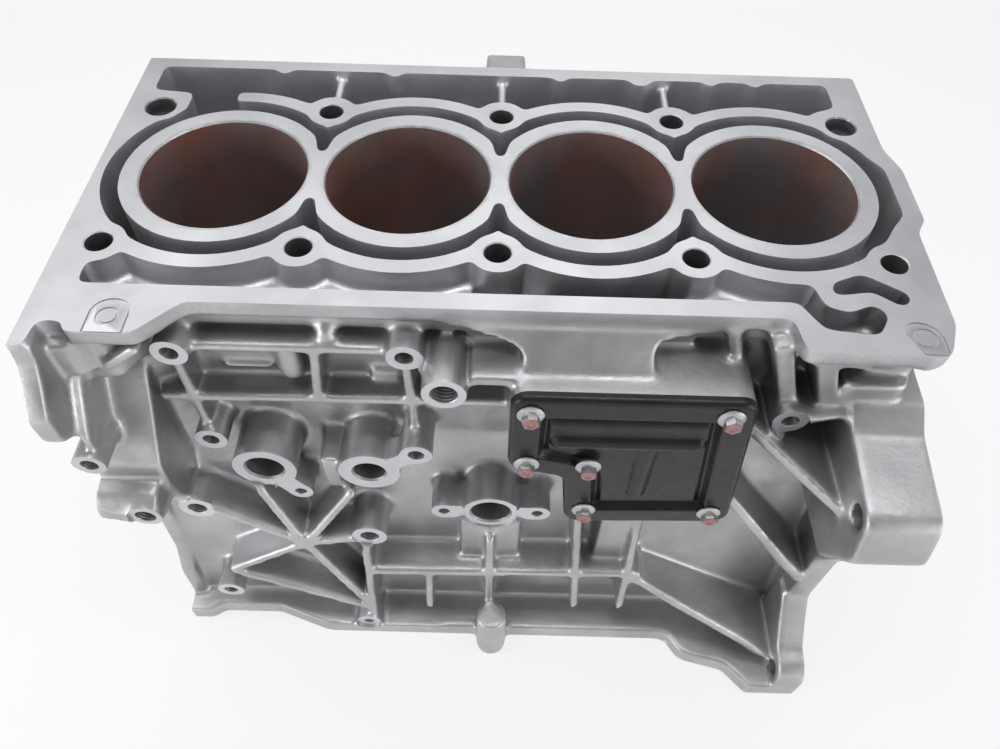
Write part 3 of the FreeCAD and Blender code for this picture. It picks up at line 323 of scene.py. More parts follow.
class Nodes:
    """A short hand for a material's node tree."""

    def __init__(self, name: str) -> None:
        """Starts a material with one Principled shader."""
        self.material = bpy.data.materials.new(name)
        self.material.use_nodes = True
        self.tree = self.material.node_tree
        self.shader = self.tree.nodes["Principled BSDF"]
        self.coordinates = self.add("ShaderNodeTexCoord").outputs["Object"]

    def add(self, kind: str, **values: object) -> bpy.types.Node:
        """Adds a node; values name its properties, or its inputs when they start with a capital."""
        node = self.tree.nodes.new(kind)
        for key, value in values.items():
            if key[0].isupper():
                node.inputs[key.replace("_", " ")].default_value = value
            else:
                setattr(node, key, value)
        return node

    def link(self, source: bpy.types.NodeSocket, target: bpy.types.NodeSocket) -> None:
        """Joins two sockets."""
        self.tree.links.new(source, target)

    def noise(self, scale: float, detail: float = 4.0, roughness: float = 0.55) -> bpy.types.NodeSocket:
        """Noise on object coordinates; scale is in cycles a metre."""
        node = self.add("ShaderNodeTexNoise", Scale=scale, Detail=detail, Roughness=roughness)
        self.link(self.coordinates, node.inputs["Vector"])
        return node.outputs["Fac"]

    def axis(self, letter: str) -> bpy.types.NodeSocket:
        """One of the object coordinates, X, Y or Z, in metres."""
        split = self.add("ShaderNodeSeparateXYZ")
        self.link(self.coordinates, split.inputs["Vector"])
        return split.outputs[letter]

    def math(self, operation: str, first: bpy.types.NodeSocket,
             second: object = None) -> bpy.types.NodeSocket:
        """Works out one step with a socket and a second socket or number."""
        node = self.add("ShaderNodeMath", operation=operation)
        self.link(first, node.inputs[0])
        if isinstance(second, bpy.types.NodeSocket):
            self.link(second, node.inputs[1])
        elif second is not None:
            node.inputs[1].default_value = second
        return node.outputs[0]

    def set(self, name: str, value: object) -> None:
        """Sets or links one of the shader's own inputs."""
        if isinstance(value, bpy.types.NodeSocket):
            self.link(value, self.shader.inputs[name])
        else:
            self.shader.inputs[name].default_value = value

    def rough(self, scale: float, low: float, high: float) -> None:
        """Lets the roughness wander between two values with a noise of the given scale."""
        self.set("Roughness", self.spread(self.noise(scale, 4.0), 0.3, 0.7, low, high))

    def spread(self, source: bpy.types.NodeSocket, low: float, high: float, to_low: float,
               to_high: float) -> bpy.types.NodeSocket:
        """Maps a range of values to another, held at its ends."""
        node = self.add("ShaderNodeMapRange", From_Min=low, From_Max=high, To_Min=to_low, To_Max=to_high)
        self.link(source, node.inputs["Value"])
        return node.outputs["Result"]

    def mix(self, factor: bpy.types.NodeSocket, first: object, second: object) -> bpy.types.NodeSocket:
        """Mixes two colours, each a socket or a plain colour."""
        node = self.add("ShaderNodeMix", data_type="RGBA")
        self.link(factor, node.inputs["Factor"])
        for name, value in (("A", first), ("B", second)):
            wanted = next(s for s in node.inputs if s.name == name and s.type == "RGBA")
            if isinstance(value, bpy.types.NodeSocket):
                self.link(value, wanted)
            else:
                wanted.default_value = (*value, 1.0)
        return node.outputs["Result"]

    def bump(self, source: bpy.types.NodeSocket, distance: float, strength: float = 1.0,
             below: bpy.types.NodeSocket | None = None) -> bpy.types.NodeSocket:
        """Bump from a height; distance is in metres."""
        node = self.add("ShaderNodeBump", Distance=distance, Strength=strength)
        self.link(source, node.inputs["Height"])
        if below is not None:
            self.link(below, node.inputs["Normal"])
        return node.outputs["Normal"]

    def recess(self, distance: float, deep: float, open_share: float) -> bpy.types.NodeSocket:
        """How deep in a recess a place lies, from 1 in a corner to 0 in the open; distance is in metres."""
        node = self.add("ShaderNodeAmbientOcclusion", samples=6, Distance=distance)
        return self.spread(node.outputs["AO"], deep, open_share, 1.0, 0.0)

    def pointiness(self, low: float, high: float) -> bpy.types.NodeSocket:
        """How far a place is on a raised edge, from 0 to 1."""
        geometry = self.add("ShaderNodeNewGeometry")
        return self.spread(geometry.outputs["Pointiness"], low, high, 0.0, 1.0)


@dataclass(frozen=True)
class CastAluminium:
    """Sand cast aluminium: a fine grain, soft blotches of oxide, paler edges that are partly rubbed wear and
    partly painted highlight, and painted shade in recesses.
    """

    base: Colour = (0.55, 0.55, 0.56)
    dull: Colour = (0.40, 0.40, 0.41)
    # Colour of the paler edges: partly rubbed wear, partly painted highlight
    wear_and_highlight: Colour = (0.70, 0.70, 0.705)
    # Colour of the painted shade that darkens recesses
    recess_shade: Colour = (0.16, 0.16, 0.165)
    shade: float = 0.62
    roughness: float = 0.39
    name: str = "cast_aluminium_skin"

    def material(self) -> bpy.types.Material:
        """Builds the material; painted shade darkens places where the walls stand close, more strongly higher
        up on the block.
        """
        nodes = Nodes(self.name)
        blotch = nodes.spread(nodes.noise(28.0, 5.0), 0.38, 0.66, 0.0, 1.0)
        speck = nodes.spread(nodes.noise(420.0, 3.0), 0.35, 0.7, 0.0, 0.45)
        tone = nodes.mix(blotch, self.dull, self.base)
        tone = nodes.mix(speck, tone, self.dull)
        # Painted shade: ambient occlusion darkens recesses towards the shade colour, five times more strongly
        # above 0.15 m than below 0.10 m
        if self.shade > 0.0:
            share = nodes.spread(nodes.axis("Z"), 0.10, 0.15, 0.2 * self.shade, self.shade)
            deep = nodes.math("MULTIPLY", nodes.recess(0.035, 0.25, 0.85), share)
            tone = nodes.mix(deep, tone, self.recess_shade)
        # Paler convex edges, found by pointiness: partly rubbed wear, partly painted highlight
        tone = nodes.mix(nodes.pointiness(0.52, 0.60), tone, self.wear_and_highlight)
        nodes.set("Base Color", tone)
        nodes.set("Metallic", 0.85)
        nodes.rough(60.0, self.roughness - 0.07, self.roughness + 0.1)
        coarse = nodes.bump(nodes.noise(260.0, 4.0), 0.00035, 0.35)
        nodes.set("Normal", nodes.bump(nodes.noise(1500.0, 2.0), 0.00012, 0.6, coarse))
        return nodes.material


@dataclass(frozen=True)
class MachinedAluminium:
    """A milled face: fine arcs left by a large cutter that passed along the block, in metres."""

    base: Colour = (0.63, 0.635, 0.65)
    stain: Colour = (0.50, 0.505, 0.52)
    cutter_radius: float = 0.16
    feed: float = 0.0018

    def material(self) -> bpy.types.Material:
        """Builds the material; the arcs are nearly x plus y squared over the cutter's diameter."""
        nodes = Nodes("machined_aluminium")
        across = nodes.axis("Y")
        bend = nodes.math("DIVIDE", nodes.math("MULTIPLY", across, across), 2.0 * self.cutter_radius)
        along = nodes.math("ADD", nodes.axis("X"), bend)
        wave = nodes.math("SINE", nodes.math("MULTIPLY", along, 2.0 * math.pi / self.feed))
        cloud = nodes.spread(nodes.noise(22.0, 5.0), 0.35, 0.68, 0.0, 1.0)
        nodes.set("Base Color", nodes.mix(cloud, self.stain, self.base))
        nodes.set("Metallic", 0.9)
        nodes.rough(35.0, 0.30, 0.42)
        lines = nodes.bump(wave, 0.00001, 0.35)
        nodes.set("Normal", nodes.bump(nodes.noise(900.0, 3.0), 0.00006, 0.35, lines))
        return nodes.material


@dataclass(frozen=True)
class HonedIron:
    """A honed cylinder wall under a brown film of oil and rust."""

    film: Colour = (0.28, 0.140, 0.110)
    rust: Colour = (0.42, 0.120, 0.070)
    iron: Colour = (0.22, 0.205, 0.215)
    hone_angle: float = 32.0

    def material(self) -> bpy.types.Material:
        """Builds the material; the hatch is two helices of fine scratches that cross."""
        nodes = Nodes("honed_iron")
        film = nodes.spread(nodes.noise(11.0, 2.0, 0.5), 0.38, 0.60, 0.0, 1.0)
        rust = nodes.spread(nodes.noise(19.0, 5.0, 0.6), 0.52, 0.78, 0.0, 0.6)
        tone = nodes.mix(film, self.iron, self.film)
        nodes.set("Base Color", nodes.mix(rust, tone, self.rust))
        nodes.set("Metallic", 0.35)
        nodes.rough(90.0, 0.34, 0.6)
        slope = math.radians(self.hone_angle)
        below = None
        for side in (-1.0, 1.0):
            mapping = nodes.add("ShaderNodeMapping", vector_type="TEXTURE", Rotation=(side * slope, 0.0, 0.0))
            noise = nodes.add("ShaderNodeTexNoise", Scale=1.0, Detail=3.0)
            stretch = nodes.add("ShaderNodeMapping", Scale=(300.0, 300.0, 5200.0))
            nodes.link(nodes.coordinates, mapping.inputs["Vector"])
            nodes.link(mapping.outputs["Vector"], stretch.inputs["Vector"])
            nodes.link(stretch.outputs["Vector"], noise.inputs["Vector"])
            below = nodes.bump(noise.outputs["Fac"], 0.00006, 0.5, below)
        nodes.set("Normal", below)
        return nodes.material


@dataclass(frozen=True)
class PlainMetal:
    """A metal of one tone with fine scratches and soft blotches."""

    name: str
    base: Colour
    dark: Colour
    metallic: float = 0.9
    roughness: float = 0.35
    grain: float = 0.00008

    def material(self) -> bpy.types.Material:
        """Builds the material."""
        nodes = Nodes(self.name)
        blotch = nodes.spread(nodes.noise(130.0, 5.0), 0.35, 0.68, 0.0, 1.0)
        nodes.set("Base Color", nodes.mix(blotch, self.dark, self.base))
        nodes.set("Metallic", self.metallic)
        nodes.rough(300.0, self.roughness - 0.06, self.roughness + 0.1)
        nodes.set("Normal", nodes.bump(nodes.noise(1100.0, 3.0), self.grain, 0.6))
        return nodes.material


@dataclass(frozen=True)
class CoverPaint:
    """Black half gloss paint on pressed steel, paler in random dusty patches."""

    base: Colour = (0.008, 0.008, 0.010)
    dusty: Colour = (0.015, 0.015, 0.017)
    roughness: float = 0.27

    def material(self) -> bpy.types.Material:
        """Builds the material."""
        nodes = Nodes("cover_paint")
        dust = nodes.spread(nodes.noise(90.0, 5.0), 0.4, 0.7, 0.0, 0.8)
        nodes.set("Base Color", nodes.mix(dust, self.base, self.dusty))
        nodes.set("Specular IOR Level", 0.33)
        nodes.rough(200.0, self.roughness - 0.05, self.roughness + 0.12)
        nodes.set("Normal", nodes.bump(nodes.noise(700.0, 3.0), 0.00004, 0.3))
        return nodes.material


@dataclass(frozen=True)
class MarkPaint:
    """A dab of pink inspection paint, worn thin."""

    base: Colour = (0.30, 0.130, 0.130)
    thin: Colour = (0.32, 0.21, 0.21)

    def material(self) -> bpy.types.Material:
        """Builds the material."""
        nodes = Nodes("mark_paint")
        worn = nodes.spread(nodes.noise(600.0, 4.0), 0.4, 0.65, 0.0, 1.0)
        nodes.set("Base Color", nodes.mix(worn, self.base, self.thin))
        nodes.set("Roughness", 0.5)
        nodes.set("Normal", nodes.bump(nodes.noise(900.0, 3.0), 0.00008, 0.5))
        return nodes.material


class Finish(Enum):
    """Which surface a face of the casting has, in the order of its materials."""

    CAST = 0
    MACHINED = 1
    DRILLED = 2
    PASSAGE = 3
    TAPPED = 4


CASTING_FINISHES = {
    Finish.CAST: CastAluminium(),
    Finish.MACHINED: MachinedAluminium(),
    Finish.DRILLED: PlainMetal("drilled_aluminium", (0.36, 0.36, 0.37), (0.24, 0.24, 0.25), 0.85, 0.42),
    Finish.PASSAGE: CastAluminium((0.74, 0.745, 0.76), (0.60, 0.605, 0.62), (0.80, 0.80, 0.81),
                                  shade=0.0, name="cast_passages"),
    Finish.TAPPED: PlainMetal("tapped_aluminium", (0.50, 0.50, 0.51), (0.38, 0.38, 0.39), 0.85, 0.42),
}


# The casting

# Small cast forms: half round columns of the rear chamber as middle and radius
CHAMBER_COLUMNS = ((-113.0, 4.0), (-56.0, 4.0), (30.0, 4.0), (71.5, 6.0), (108.0, 4.0), (131.0, 4.0))
# Low pads and ledges as two corners
PADS = (
    ((-122.0, -73.1, 154.5), (-101.0, -66.0, 157.0)),
    ((-56.0, -73.5, 150.0), (-43.0, -66.0, 155.5)),
    ((-10.0, -97.0, 177.5), (10.0, -68.0, 183.5)),
)
# Tabs of the deck that the cutter leaves rough: corners with radii, and the middle and radius of a disc
TABS = (
    (
        ((-158.6, -97.5, 0.5), (-158.6, -80.2, 7.0), (-143.3, -80.2, 7.0), (-143.3, -97.5, 0.5)),
        (-151.4, -88.8, 4.0),
    ),
    (
        ((161.8, -86.8, 1.0), (161.8, -81.0, 5.0), (176.0, -81.0, 8.0), (175.6, -97.2, 0.5),
         (166.0, -97.2, 1.0)),
        (168.6, -88.8, 4.6),
    ),
)
# Through holes of the transmission flange as y and z
BELL_HOLES = ((-133.0, 142.0), (-138.0, -38.0), (122.0, 136.0), (130.0, -20.0))
# Round lugs that give the two holes near the flange's back edge a full wall: y, z and radius
BELL_LUGS = ((122.0, 136.0, 11.5), (130.0, -20.0, 11.5))


@dataclass(frozen=True)
class TappedBoss:
    """A round boss on the front whose face is spot faced and tapped.

    The face is the distance in front of the crankshaft axis. A hole of the solids that the
    thread goes into only needs its thread cut wider.
    """

    x: float
    z: float
    face: float
    radius: float
    minor: float
    major: float
    pitch: float
    depth: float


FRONT_BOSSES = (
    TappedBoss(-135.0, 183.0, 88.0, 8.0, 3.4, 4.0, 1.25, 22.0),
    TappedBoss(-37.5, 184.0, 88.0, 8.0, 3.4, 4.0, 1.25, 22.0),
    TappedBoss(-135.0, 117.0, 88.0, 8.0, 3.4, 4.0, 1.25, 22.0),
    TappedBoss(-36.0, 119.0, 95.0, 8.0, 3.4, 4.0, 1.25, 22.0),
    TappedBoss(130.0, 156.0, 95.0, 8.0, 3.4, 4.0, 1.25, 22.0),
    TappedBoss(-20.5, 177.0, 101.0, 9.7, 5.1, 6.0, 1.75, 24.0),
    TappedBoss(-177.0, 136.0, 115.0, 7.5, 3.4, 4.0, 1.25, 22.0),
    TappedBoss(-152.0, 69.0, 100.0, 9.5, 4.3, 5.0, 1.5, 24.0),
    TappedBoss(-64.0, 52.0, 105.0, 9.5, 4.3, 5.0, 1.5, 24.0),
    TappedBoss(-163.5, 98.0, 120.0, 8.0, 4.3, 5.0, 1.5, 26.0),
    TappedBoss(-97.0, 81.0, 95.0, 6.5, 2.5, 3.0, 1.0, 15.0),
    TappedBoss(24.0, 73.0, 100.0, 7.0, 2.5, 3.0, 1.0, 15.0),
    TappedBoss(-24.0, 73.0, 100.0, 7.0, 2.5, 3.0, 1.0, 15.0),
    TappedBoss(-152.0, -12.0, 111.0, 8.0, 3.4, 4.0, 1.25, 18.0),
    TappedBoss(-73.0, -41.0, 117.0, 7.5, 2.5, 3.0, 1.0, 15.0),
)


@dataclass(frozen=True)
class Port:
    """A round port on the front: middle, face distance, boss radius, bore radius and depth."""

    x: float
    z: float
    face: float
    radius: float
    bore: float
    depth: float


PORTS = (
    Port(-111.0, 103.0, 95.0, 15.7, 9.1, 24.0),
    Port(-60.0, 102.0, 95.0, 15.2, 7.7, 24.0),
    Port(0.0, 73.0, 100.0, 14.5, 10.0, 22.0),
)

# Necks whose faces are milled with the bosses they join: start, end, width and face distance
NECKS = (
    ((-111.0, 103.0), (-97.0, 81.0), 12.0, 95.0),
    ((-60.0, 102.0), (-36.0, 119.0), 9.0, 95.0),
    ((-24.0, 73.0), (24.0, 73.0), 12.0, 100.0),
)


@dataclass
class Casting:
    """The block casting: a cast skin with rounded edges and fillets, and faces and holes cut crisp in it."""

    stock: float = 3.0
    bore_stock: float = 1.5
    mill_reach: float = 250.0
    mill_height: float = 30.0
    above: float = 5.0
    voxel: float = 1.0
    rounds: int = 16
    pull: float = 0.6
    keep: float = 0.058
    main_bore: float = 27.0
    liner_seat: float = 39.5
    cap_seat: float = 52.0
    head_drill: float = 5.8
    head_depth: float = 82.0
    dowel: float = 7.2
    cover_face: float = 102.0
    flange_hole: float = 5.5
    flange_back: float = 152.0
    groove_width: float = 0.8
    groove_depth: float = 0.35
    chamfer: float = 0.5
    sharp_edge: float = 32.0
    near: float = 0.02
    flat: float = 0.999
    chamber_wall: float = 83.0

    def build(self, nodes: dict[str, bpy.types.Object]) -> bpy.types.Object:
        """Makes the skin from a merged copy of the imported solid.

        Args:
            nodes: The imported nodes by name.

        Returns:
            The finished casting.
        """
        solid = self.merged_copy(nodes["block_casting"])
        self.add_stock(solid)
        skin = new_object("casting", joined("casting", [solid] + self.small_forms()))
        self.remesh(skin)
        self.relax(skin.data)
        self.thin_out(skin)
        for cutter in self.face_cutters() + self.hole_cutters():
            self.carve(skin, cutter)
        self.dress(skin)
        place_piece(skin, ("block_casting",))
        return skin

    def merged_copy(self, node: bpy.types.Object) -> bpy.types.Mesh:
        """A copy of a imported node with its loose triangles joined."""
        work = bmesh.new()
        work.from_mesh(node.data)
        bmesh.ops.remove_doubles(work, verts=work.verts, dist=1e-6)
        mesh = bpy.data.meshes.new("casting")
        work.to_mesh(mesh)
        work.free()
        return mesh

    def add_stock(self, mesh: bpy.types.Mesh) -> None:
        """Moves the machined faces out by the stock that the mills take off again.

        A point on a machined plane goes out along its normal, and a point on the line bore or a
        liner seat moves in towards the axis.
        """
        points = read_points(mesh) / MM
        near = 0.01
        original = points.copy()
        x, y, z = original.T
        points[np.abs(z - DECK) < near, 2] += self.stock
        points[np.abs(z - RAIL) < near, 2] -= self.stock
        points[np.abs(x - BELL) < near, 0] += self.stock
        points[np.abs(x - TIMING) < near, 0] -= self.stock
        points[np.abs(y + self.cover_face) < near, 1] -= self.stock
        for boss in FRONT_BOSSES + PORTS:
            close = np.hypot(x - boss.x, z - boss.z) < boss.radius + 0.1
            points[close & (np.abs(y + boss.face) < near), 1] = -boss.face - self.stock
        for start, end, width, face in NECKS:
            close = distance_to_run(original[:, [0, 2]], np.array(start), np.array(end)) < width / 2 + 0.1
            points[close & (np.abs(y + face) < near), 1] = -face - self.stock
        bore = np.abs(np.hypot(y, z) - self.main_bore) < near
        points[bore, 1:] *= (self.main_bore - self.bore_stock) / self.main_bore
        for middle in BORES:
            seat = np.abs(np.hypot(x - middle, y) - self.liner_seat) < near
            scale = (self.liner_seat - self.bore_stock) / self.liner_seat
            points[seat, 0] = middle + (points[seat, 0] - middle) * scale
            points[seat, 1] *= scale
        seats = (np.abs(z) < near) & (np.abs(y) < self.cap_seat + near) & (np.abs(y) > self.main_bore)
        points[seats, 2] -= self.bore_stock
        walls = (np.abs(np.abs(y) - self.cap_seat) < near) & (z < near)
        points[walls, 1] *= (self.cap_seat - self.bore_stock) / self.cap_seat
        write_points(mesh, points * MM)

    def small_forms(self) -> list[bpy.types.Mesh]:
        """Closed forms that stand in the walls and become one with them in the net."""
        forms = [slab(f"pad_{number}", low, high) for number, (low, high) in enumerate(PADS)]
        for number, (x, radius) in enumerate(CHAMBER_COLUMNS):
            ends = [(radius, 134.0), (radius, DECK + self.stock)]
            forms.append(turned(f"column_{number}", ends, (x, self.chamber_wall, 0.0), Axis.UP, 24))
        foot = [(1.0, 152.0), (4.5, 153.0), (6.5, 155.5), (7.0, 159.0), (7.0, 184.0)]
        forms.append(turned("pocket_column", foot, (-90.5, -72.5, 0.0), Axis.UP, 32))
        knob = [(4.5, 68.0), (4.5, 79.0), (2.0, 81.5)]
        forms.append(turned("lip_knob", knob, (-71.0, 0.0, 187.5), Axis.FRONT, 24))
        for y, z, radius in BELL_LUGS:
            ends = [(radius, BELL - 12.0), (radius, BELL + self.stock)]
            forms.append(turned("bell_lug", ends, (0.0, y, z), Axis.RIGHT, 40))
        corner_rib = run_outline((-160.0, 180.5), (-143.0, 194.0), 5.0)
        forms.append(prism("corner_rib", corner_rib, 78.0, 96.0))
        return forms

    def remesh(self, skin: bpy.types.Object) -> None:
        """Turns the solid into an even net of small quads."""
        modifier = skin.modifiers.new("net", "REMESH")
        modifier.mode = "VOXEL"
        modifier.voxel_size = self.voxel * MM
        settle(skin)

    def relax(self, mesh: bpy.types.Mesh) -> None:
        """Rounds the edges and fills the corners, as a mould does.

        In each round every point goes part of the way to the mean of its neighbours.
        """
        points = read_points(mesh)
        edges = np.empty(len(mesh.edges) * 2, np.int32)
        mesh.edges.foreach_get("vertices", edges)
        start, end = edges.reshape(-1, 2).T
        here = np.concatenate([start, end])
        there = np.concatenate([end, start])
        count = np.bincount(here, minlength=len(points)).astype(float)
        for _ in range(self.rounds):
            mean = np.column_stack([
                np.bincount(here, weights=points[there, axis], minlength=len(points)) / count
                for axis in range(3)
            ])
            points += self.pull * (mean - points)
        write_points(mesh, points)

    def thin_out(self, skin: bpy.types.Object) -> None:
        """Keeps small faces only where the surface bends."""
        modifier = skin.modifiers.new("thin", "DECIMATE")
        modifier.ratio = self.keep
        settle(skin)

    def face_cutters(self) -> list[bpy.types.Mesh]:
        """The mills: the large faces, the spot faces of the bosses and necks, and the cover's seat."""
        side = self.mill_reach
        far = self.mill_height
        mills = [
            slab("deck_mill", (-side, -side, DECK), (side, side, DECK + far)),
            slab("rail_mill", (-side, -side, RAIL - far), (side, side, RAIL)),
            slab("timing_mill", (TIMING - far, -side, -100.0), (TIMING, side, side)),
            slab("bell_mill", (BELL, -side, -100.0), (BELL + far, side, DECK - 13.0)),
        ]
        for number, boss in enumerate(FRONT_BOSSES + PORTS):
            rim = boss.radius + 0.3
            ends = [(rim, boss.face), (rim, boss.face + far)]
            mills.append(turned(f"spot_{number}", ends, (boss.x, 0.0, boss.z), Axis.FRONT))
        for number, (start, end, width, face) in enumerate(NECKS):
            mills.append(prism(f"neck_{number}", run_outline(start, end, width + 0.6), face, face + far))
        cover = grown(rounded_outline(COVER_OUTLINE), 1.5)
        return mills + [prism("cover_mill", cover, self.cover_face, self.cover_face + far)]

    def hole_cutters(self) -> list[bpy.types.Mesh]:
        """Drills, taps and bores, in sets that don't overlap."""
        up = self.above
        tip = 0.1
        ends = [(self.liner_seat, DECK - 160.0), (self.liner_seat, DECK + up)]
        seats = [turned("seat", ends, (x, 0.0, 0.0), Axis.UP, 160) for x in BORES]
        ends = [(self.main_bore, -200.0), (self.main_bore, 200.0)]
        line = turned("line", ends, (0.0, 0.0, 0.0), Axis.RIGHT, 120)
        wide = self.head_drill + self.chamfer
        profile = [(tip, -self.head_depth), (self.head_drill, -self.head_depth + 3.0)]
        profile += [(self.head_drill, -self.chamfer), (wide, 0.0), (wide, up)]
        drills = [
            turned("head_drill", profile, (x, y, DECK), Axis.UP)
            for x in BEARINGS for y in (-HEAD_BOLT_Y, HEAD_BOLT_Y)
        ]
        profile = [(self.dowel, -8.0), (self.dowel, -0.6), (self.dowel + 0.6, 0.0), (self.dowel + 0.6, up)]
        dowels = [
            turned("dowel", profile, (x, HEAD_BOLT_Y, DECK), Axis.UP) for x in (BEARINGS[0], BEARINGS[-1])
        ]
        ports = []
        for port in PORTS:
            r = port.bore
            profile = [(tip, -port.depth - 2.0), (r, -port.depth), (r, -1.0), (r + 1.0, 0.0), (r + 1.0, up)]
            ports.append(turned("port", profile, (port.x, -port.face, port.z), Axis.FRONT))
        taps = []
        for boss in FRONT_BOSSES:
            mouth = (boss.x, -boss.face, boss.z)
            taps.append(threaded("tap", boss.minor, boss.major, boss.pitch, boss.depth, mouth, Axis.FRONT))
        ends = [(self.flange_hole, self.flange_back), (self.flange_hole, 200.0)]
        flange = [turned("flange_hole", ends, (0.0, y, z), Axis.RIGHT) for y, z in BELL_HOLES]
        return [joined("drills", drills), joined("seats", seats), line, joined("ports", ports),
                joined("taps", taps), joined("dowels", dowels), joined("flange", flange)] + self.tab_cutters()

    def tab_cutters(self) -> list[bpy.types.Mesh]:
        """Narrow grooves round each tab of the deck and round the disc on it."""
        grooves = []
        discs = []
        angle = circle_angles(40)
        for outline, (x, y, radius) in TABS:
            edge = rounded_outline(list(outline))
            grooves.append(groove("tab_groove", edge, self.groove_width, self.groove_depth))
            circle = np.array([x, y]) + radius * np.column_stack([np.cos(angle), np.sin(angle)])
            discs.append(groove("disc_groove", circle, self.groove_width, self.groove_depth))
        return [joined("grooves", grooves), joined("discs", discs)]

    def carve(self, skin: bpy.types.Object, mesh: bpy.types.Mesh) -> None:
        """Takes one cutter out of the skin."""
        cutter = new_object(mesh.name, mesh)
        modifier = skin.modifiers.new("carve", "BOOLEAN")
        modifier.operation = "DIFFERENCE"
        modifier.solver = "MANIFOLD"
        modifier.object = cutter
        settle(skin)
        bpy.data.objects.remove(cutter)
        bpy.data.meshes.remove(mesh)

    def dress(self, skin: bpy.types.Object) -> None:
        """Gives machined, drilled and cast finishes to the faces by the planes and bores they lie on."""
        mesh = skin.data
        mesh.materials.clear()
        for finish in CASTING_FINISHES.values():
            mesh.materials.append(finish.material())
        x, y, z = (read_faces(mesh, "center") / MM).T
        normal = read_faces(mesh, "normal").T
        drilled, tapped = self.inside_holes(x, y, z, np.abs(normal[0]))
        machined = self.on_mills(x, y, z, np.abs(normal))
        near = self.near
        for outline, _ in TABS:
            corners = np.array(outline)
            on_tab = (x > corners[:, 0].min()) & (x < corners[:, 0].max())
            on_tab &= np.abs(z - DECK) < self.groove_depth
            on_tab &= (y > corners[:, 1].min() - 1.0) & (y < corners[:, 1].max())
            machined &= ~(on_tab & (z > DECK - near))
            machined |= on_tab & (z < DECK - near)
        passage = (z > 104.0) & (z < DECK - near) & (y > -64.0) & (y < 88.0) & ~machined
        passage &= (np.abs(x) < 177.0) | ((np.abs(x) < 181.0) & (normal[0] * x < 0.0))
        order = (Finish.TAPPED, Finish.DRILLED, Finish.PASSAGE, Finish.MACHINED)
        values = [kind.value for kind in order]
        finish = np.select([tapped, drilled, passage, machined], values, Finish.CAST.value)
        mesh.polygons.foreach_set("material_index", finish.astype(np.int32))
        mesh.polygons.foreach_set("use_smooth", np.ones(len(finish), bool))
        mesh.set_sharp_from_angle(angle=math.radians(self.sharp_edge))
        mesh.update()

    def on_mills(self, x: Points, y: Points, z: Points, normal: Points) -> Points:
        """Which faces lie on a milled plane or on the line bore.

        Args:
            x: Middles of the faces along the crankshaft.
            y: Middles to the back.
            z: Middles upwards.
            normal: Sizes of the three parts of each face's normal.

        Returns:
            A true or false value for each face.
        """
        near, flat = self.near, self.flat
        machined = (np.abs(z - DECK) < near) | (np.abs(z - RAIL) < near)
        machined |= ((np.abs(x - BELL) < near) | (np.abs(x - TIMING) < near)) & (normal[0] > flat)
        machined |= (np.abs(y + self.cover_face) < near) & (normal[1] > flat)
        machined |= np.abs(np.hypot(y, z) - self.main_bore) < 0.1
        for boss in FRONT_BOSSES + PORTS:
            close = np.hypot(x - boss.x, z - boss.z) < boss.radius + 0.5
            machined |= close & (np.abs(y + boss.face) < near) & (normal[1] > flat)
        places = np.column_stack([x, z])
        for start, end, width, face in NECKS:
            close = distance_to_run(places, np.array(start), np.array(end)) < width / 2 + 0.5
            machined |= close & (np.abs(y + face) < near) & (normal[1] > flat)
        return machined

    def inside_holes(self, x: Points, y: Points, z: Points, along: Points) -> tuple[Points, Points]:
        """Which faces lie in a plain hole, and which in a tapped one.

        Args:
            x: Middles of the faces along the crankshaft.
            y: Middles to the back.
            z: Middles upwards.
            along: Size of each normal's part along the crankshaft.

        Returns:
            Two arrays of true or false values, for plain and tapped holes.
        """
        near = self.near
        drilled = np.zeros(len(x), bool)
        tapped = np.zeros(len(x), bool)
        for boss in FRONT_BOSSES:
            deep = (-y > boss.face - boss.depth - 1.0) & (-y < boss.face - near)
            tapped |= (np.hypot(x - boss.x, z - boss.z) < boss.major + 0.3) & deep
        for port in PORTS:
            deep = (-y > port.face - port.depth - 3.0) & (-y < port.face - near)
            drilled |= (np.hypot(x - port.x, z - port.z) < port.bore + 0.8) & deep
        deep = (z > DECK - self.head_depth - 1.0) & (z < DECK - 0.3)
        for middle in BEARINGS:
            for side in (-HEAD_BOLT_Y, HEAD_BOLT_Y):
                drilled |= (np.hypot(x - middle, y - side) < self.dowel + 0.7) & deep
        deep = (x > self.flange_back) & (along < self.flat)
        for y_hole, z_hole in BELL_HOLES:
            drilled |= (np.hypot(y - y_hole, z - z_hole) < self.flange_hole + 0.1) & deep
        return drilled, tapped


def distance_to_run(points: Points, start: Points, end: Points) -> Points:
    """Distance of flat points from a straight run between two places."""
    way = end - start
    share = np.clip(((points - start) @ way) / (way @ way), 0.0, 1.0)
    return np.linalg.norm(points - start - share[:, None] * way, axis=1)


def run_outline(start: Spot, end: Spot, width: float) -> Points:
    """Outline of a straight bar of the given width."""
    first, last = np.array(start), np.array(end)
    way = (last - first) / np.linalg.norm(last - first)
    side = np.array([-way[1], way[0]]) * width / 2
    return np.array([first - side, last - side, last + side, first + side])


def groove(name: str, outline: Points, width: float, depth: float) -> bpy.types.Mesh:
    """A ring of square section along a closed outline, for cutting a groove into the deck."""
    inner, outer = grown(outline, -width / 2), grown(outline, width / 2)
    foot, top = DECK - depth, DECK + 2.0
    corners = ((outer, foot), (inner, foot), (inner, top), (outer, top))
    rings = [np.column_stack([ring, np.full(len(outline), z)]) for ring, z in corners]
    mesh = mesh_from(name, np.concatenate(rings), grid_faces(4, len(outline), wrap_rows=True))
    face_outwards(mesh)
    return mesh


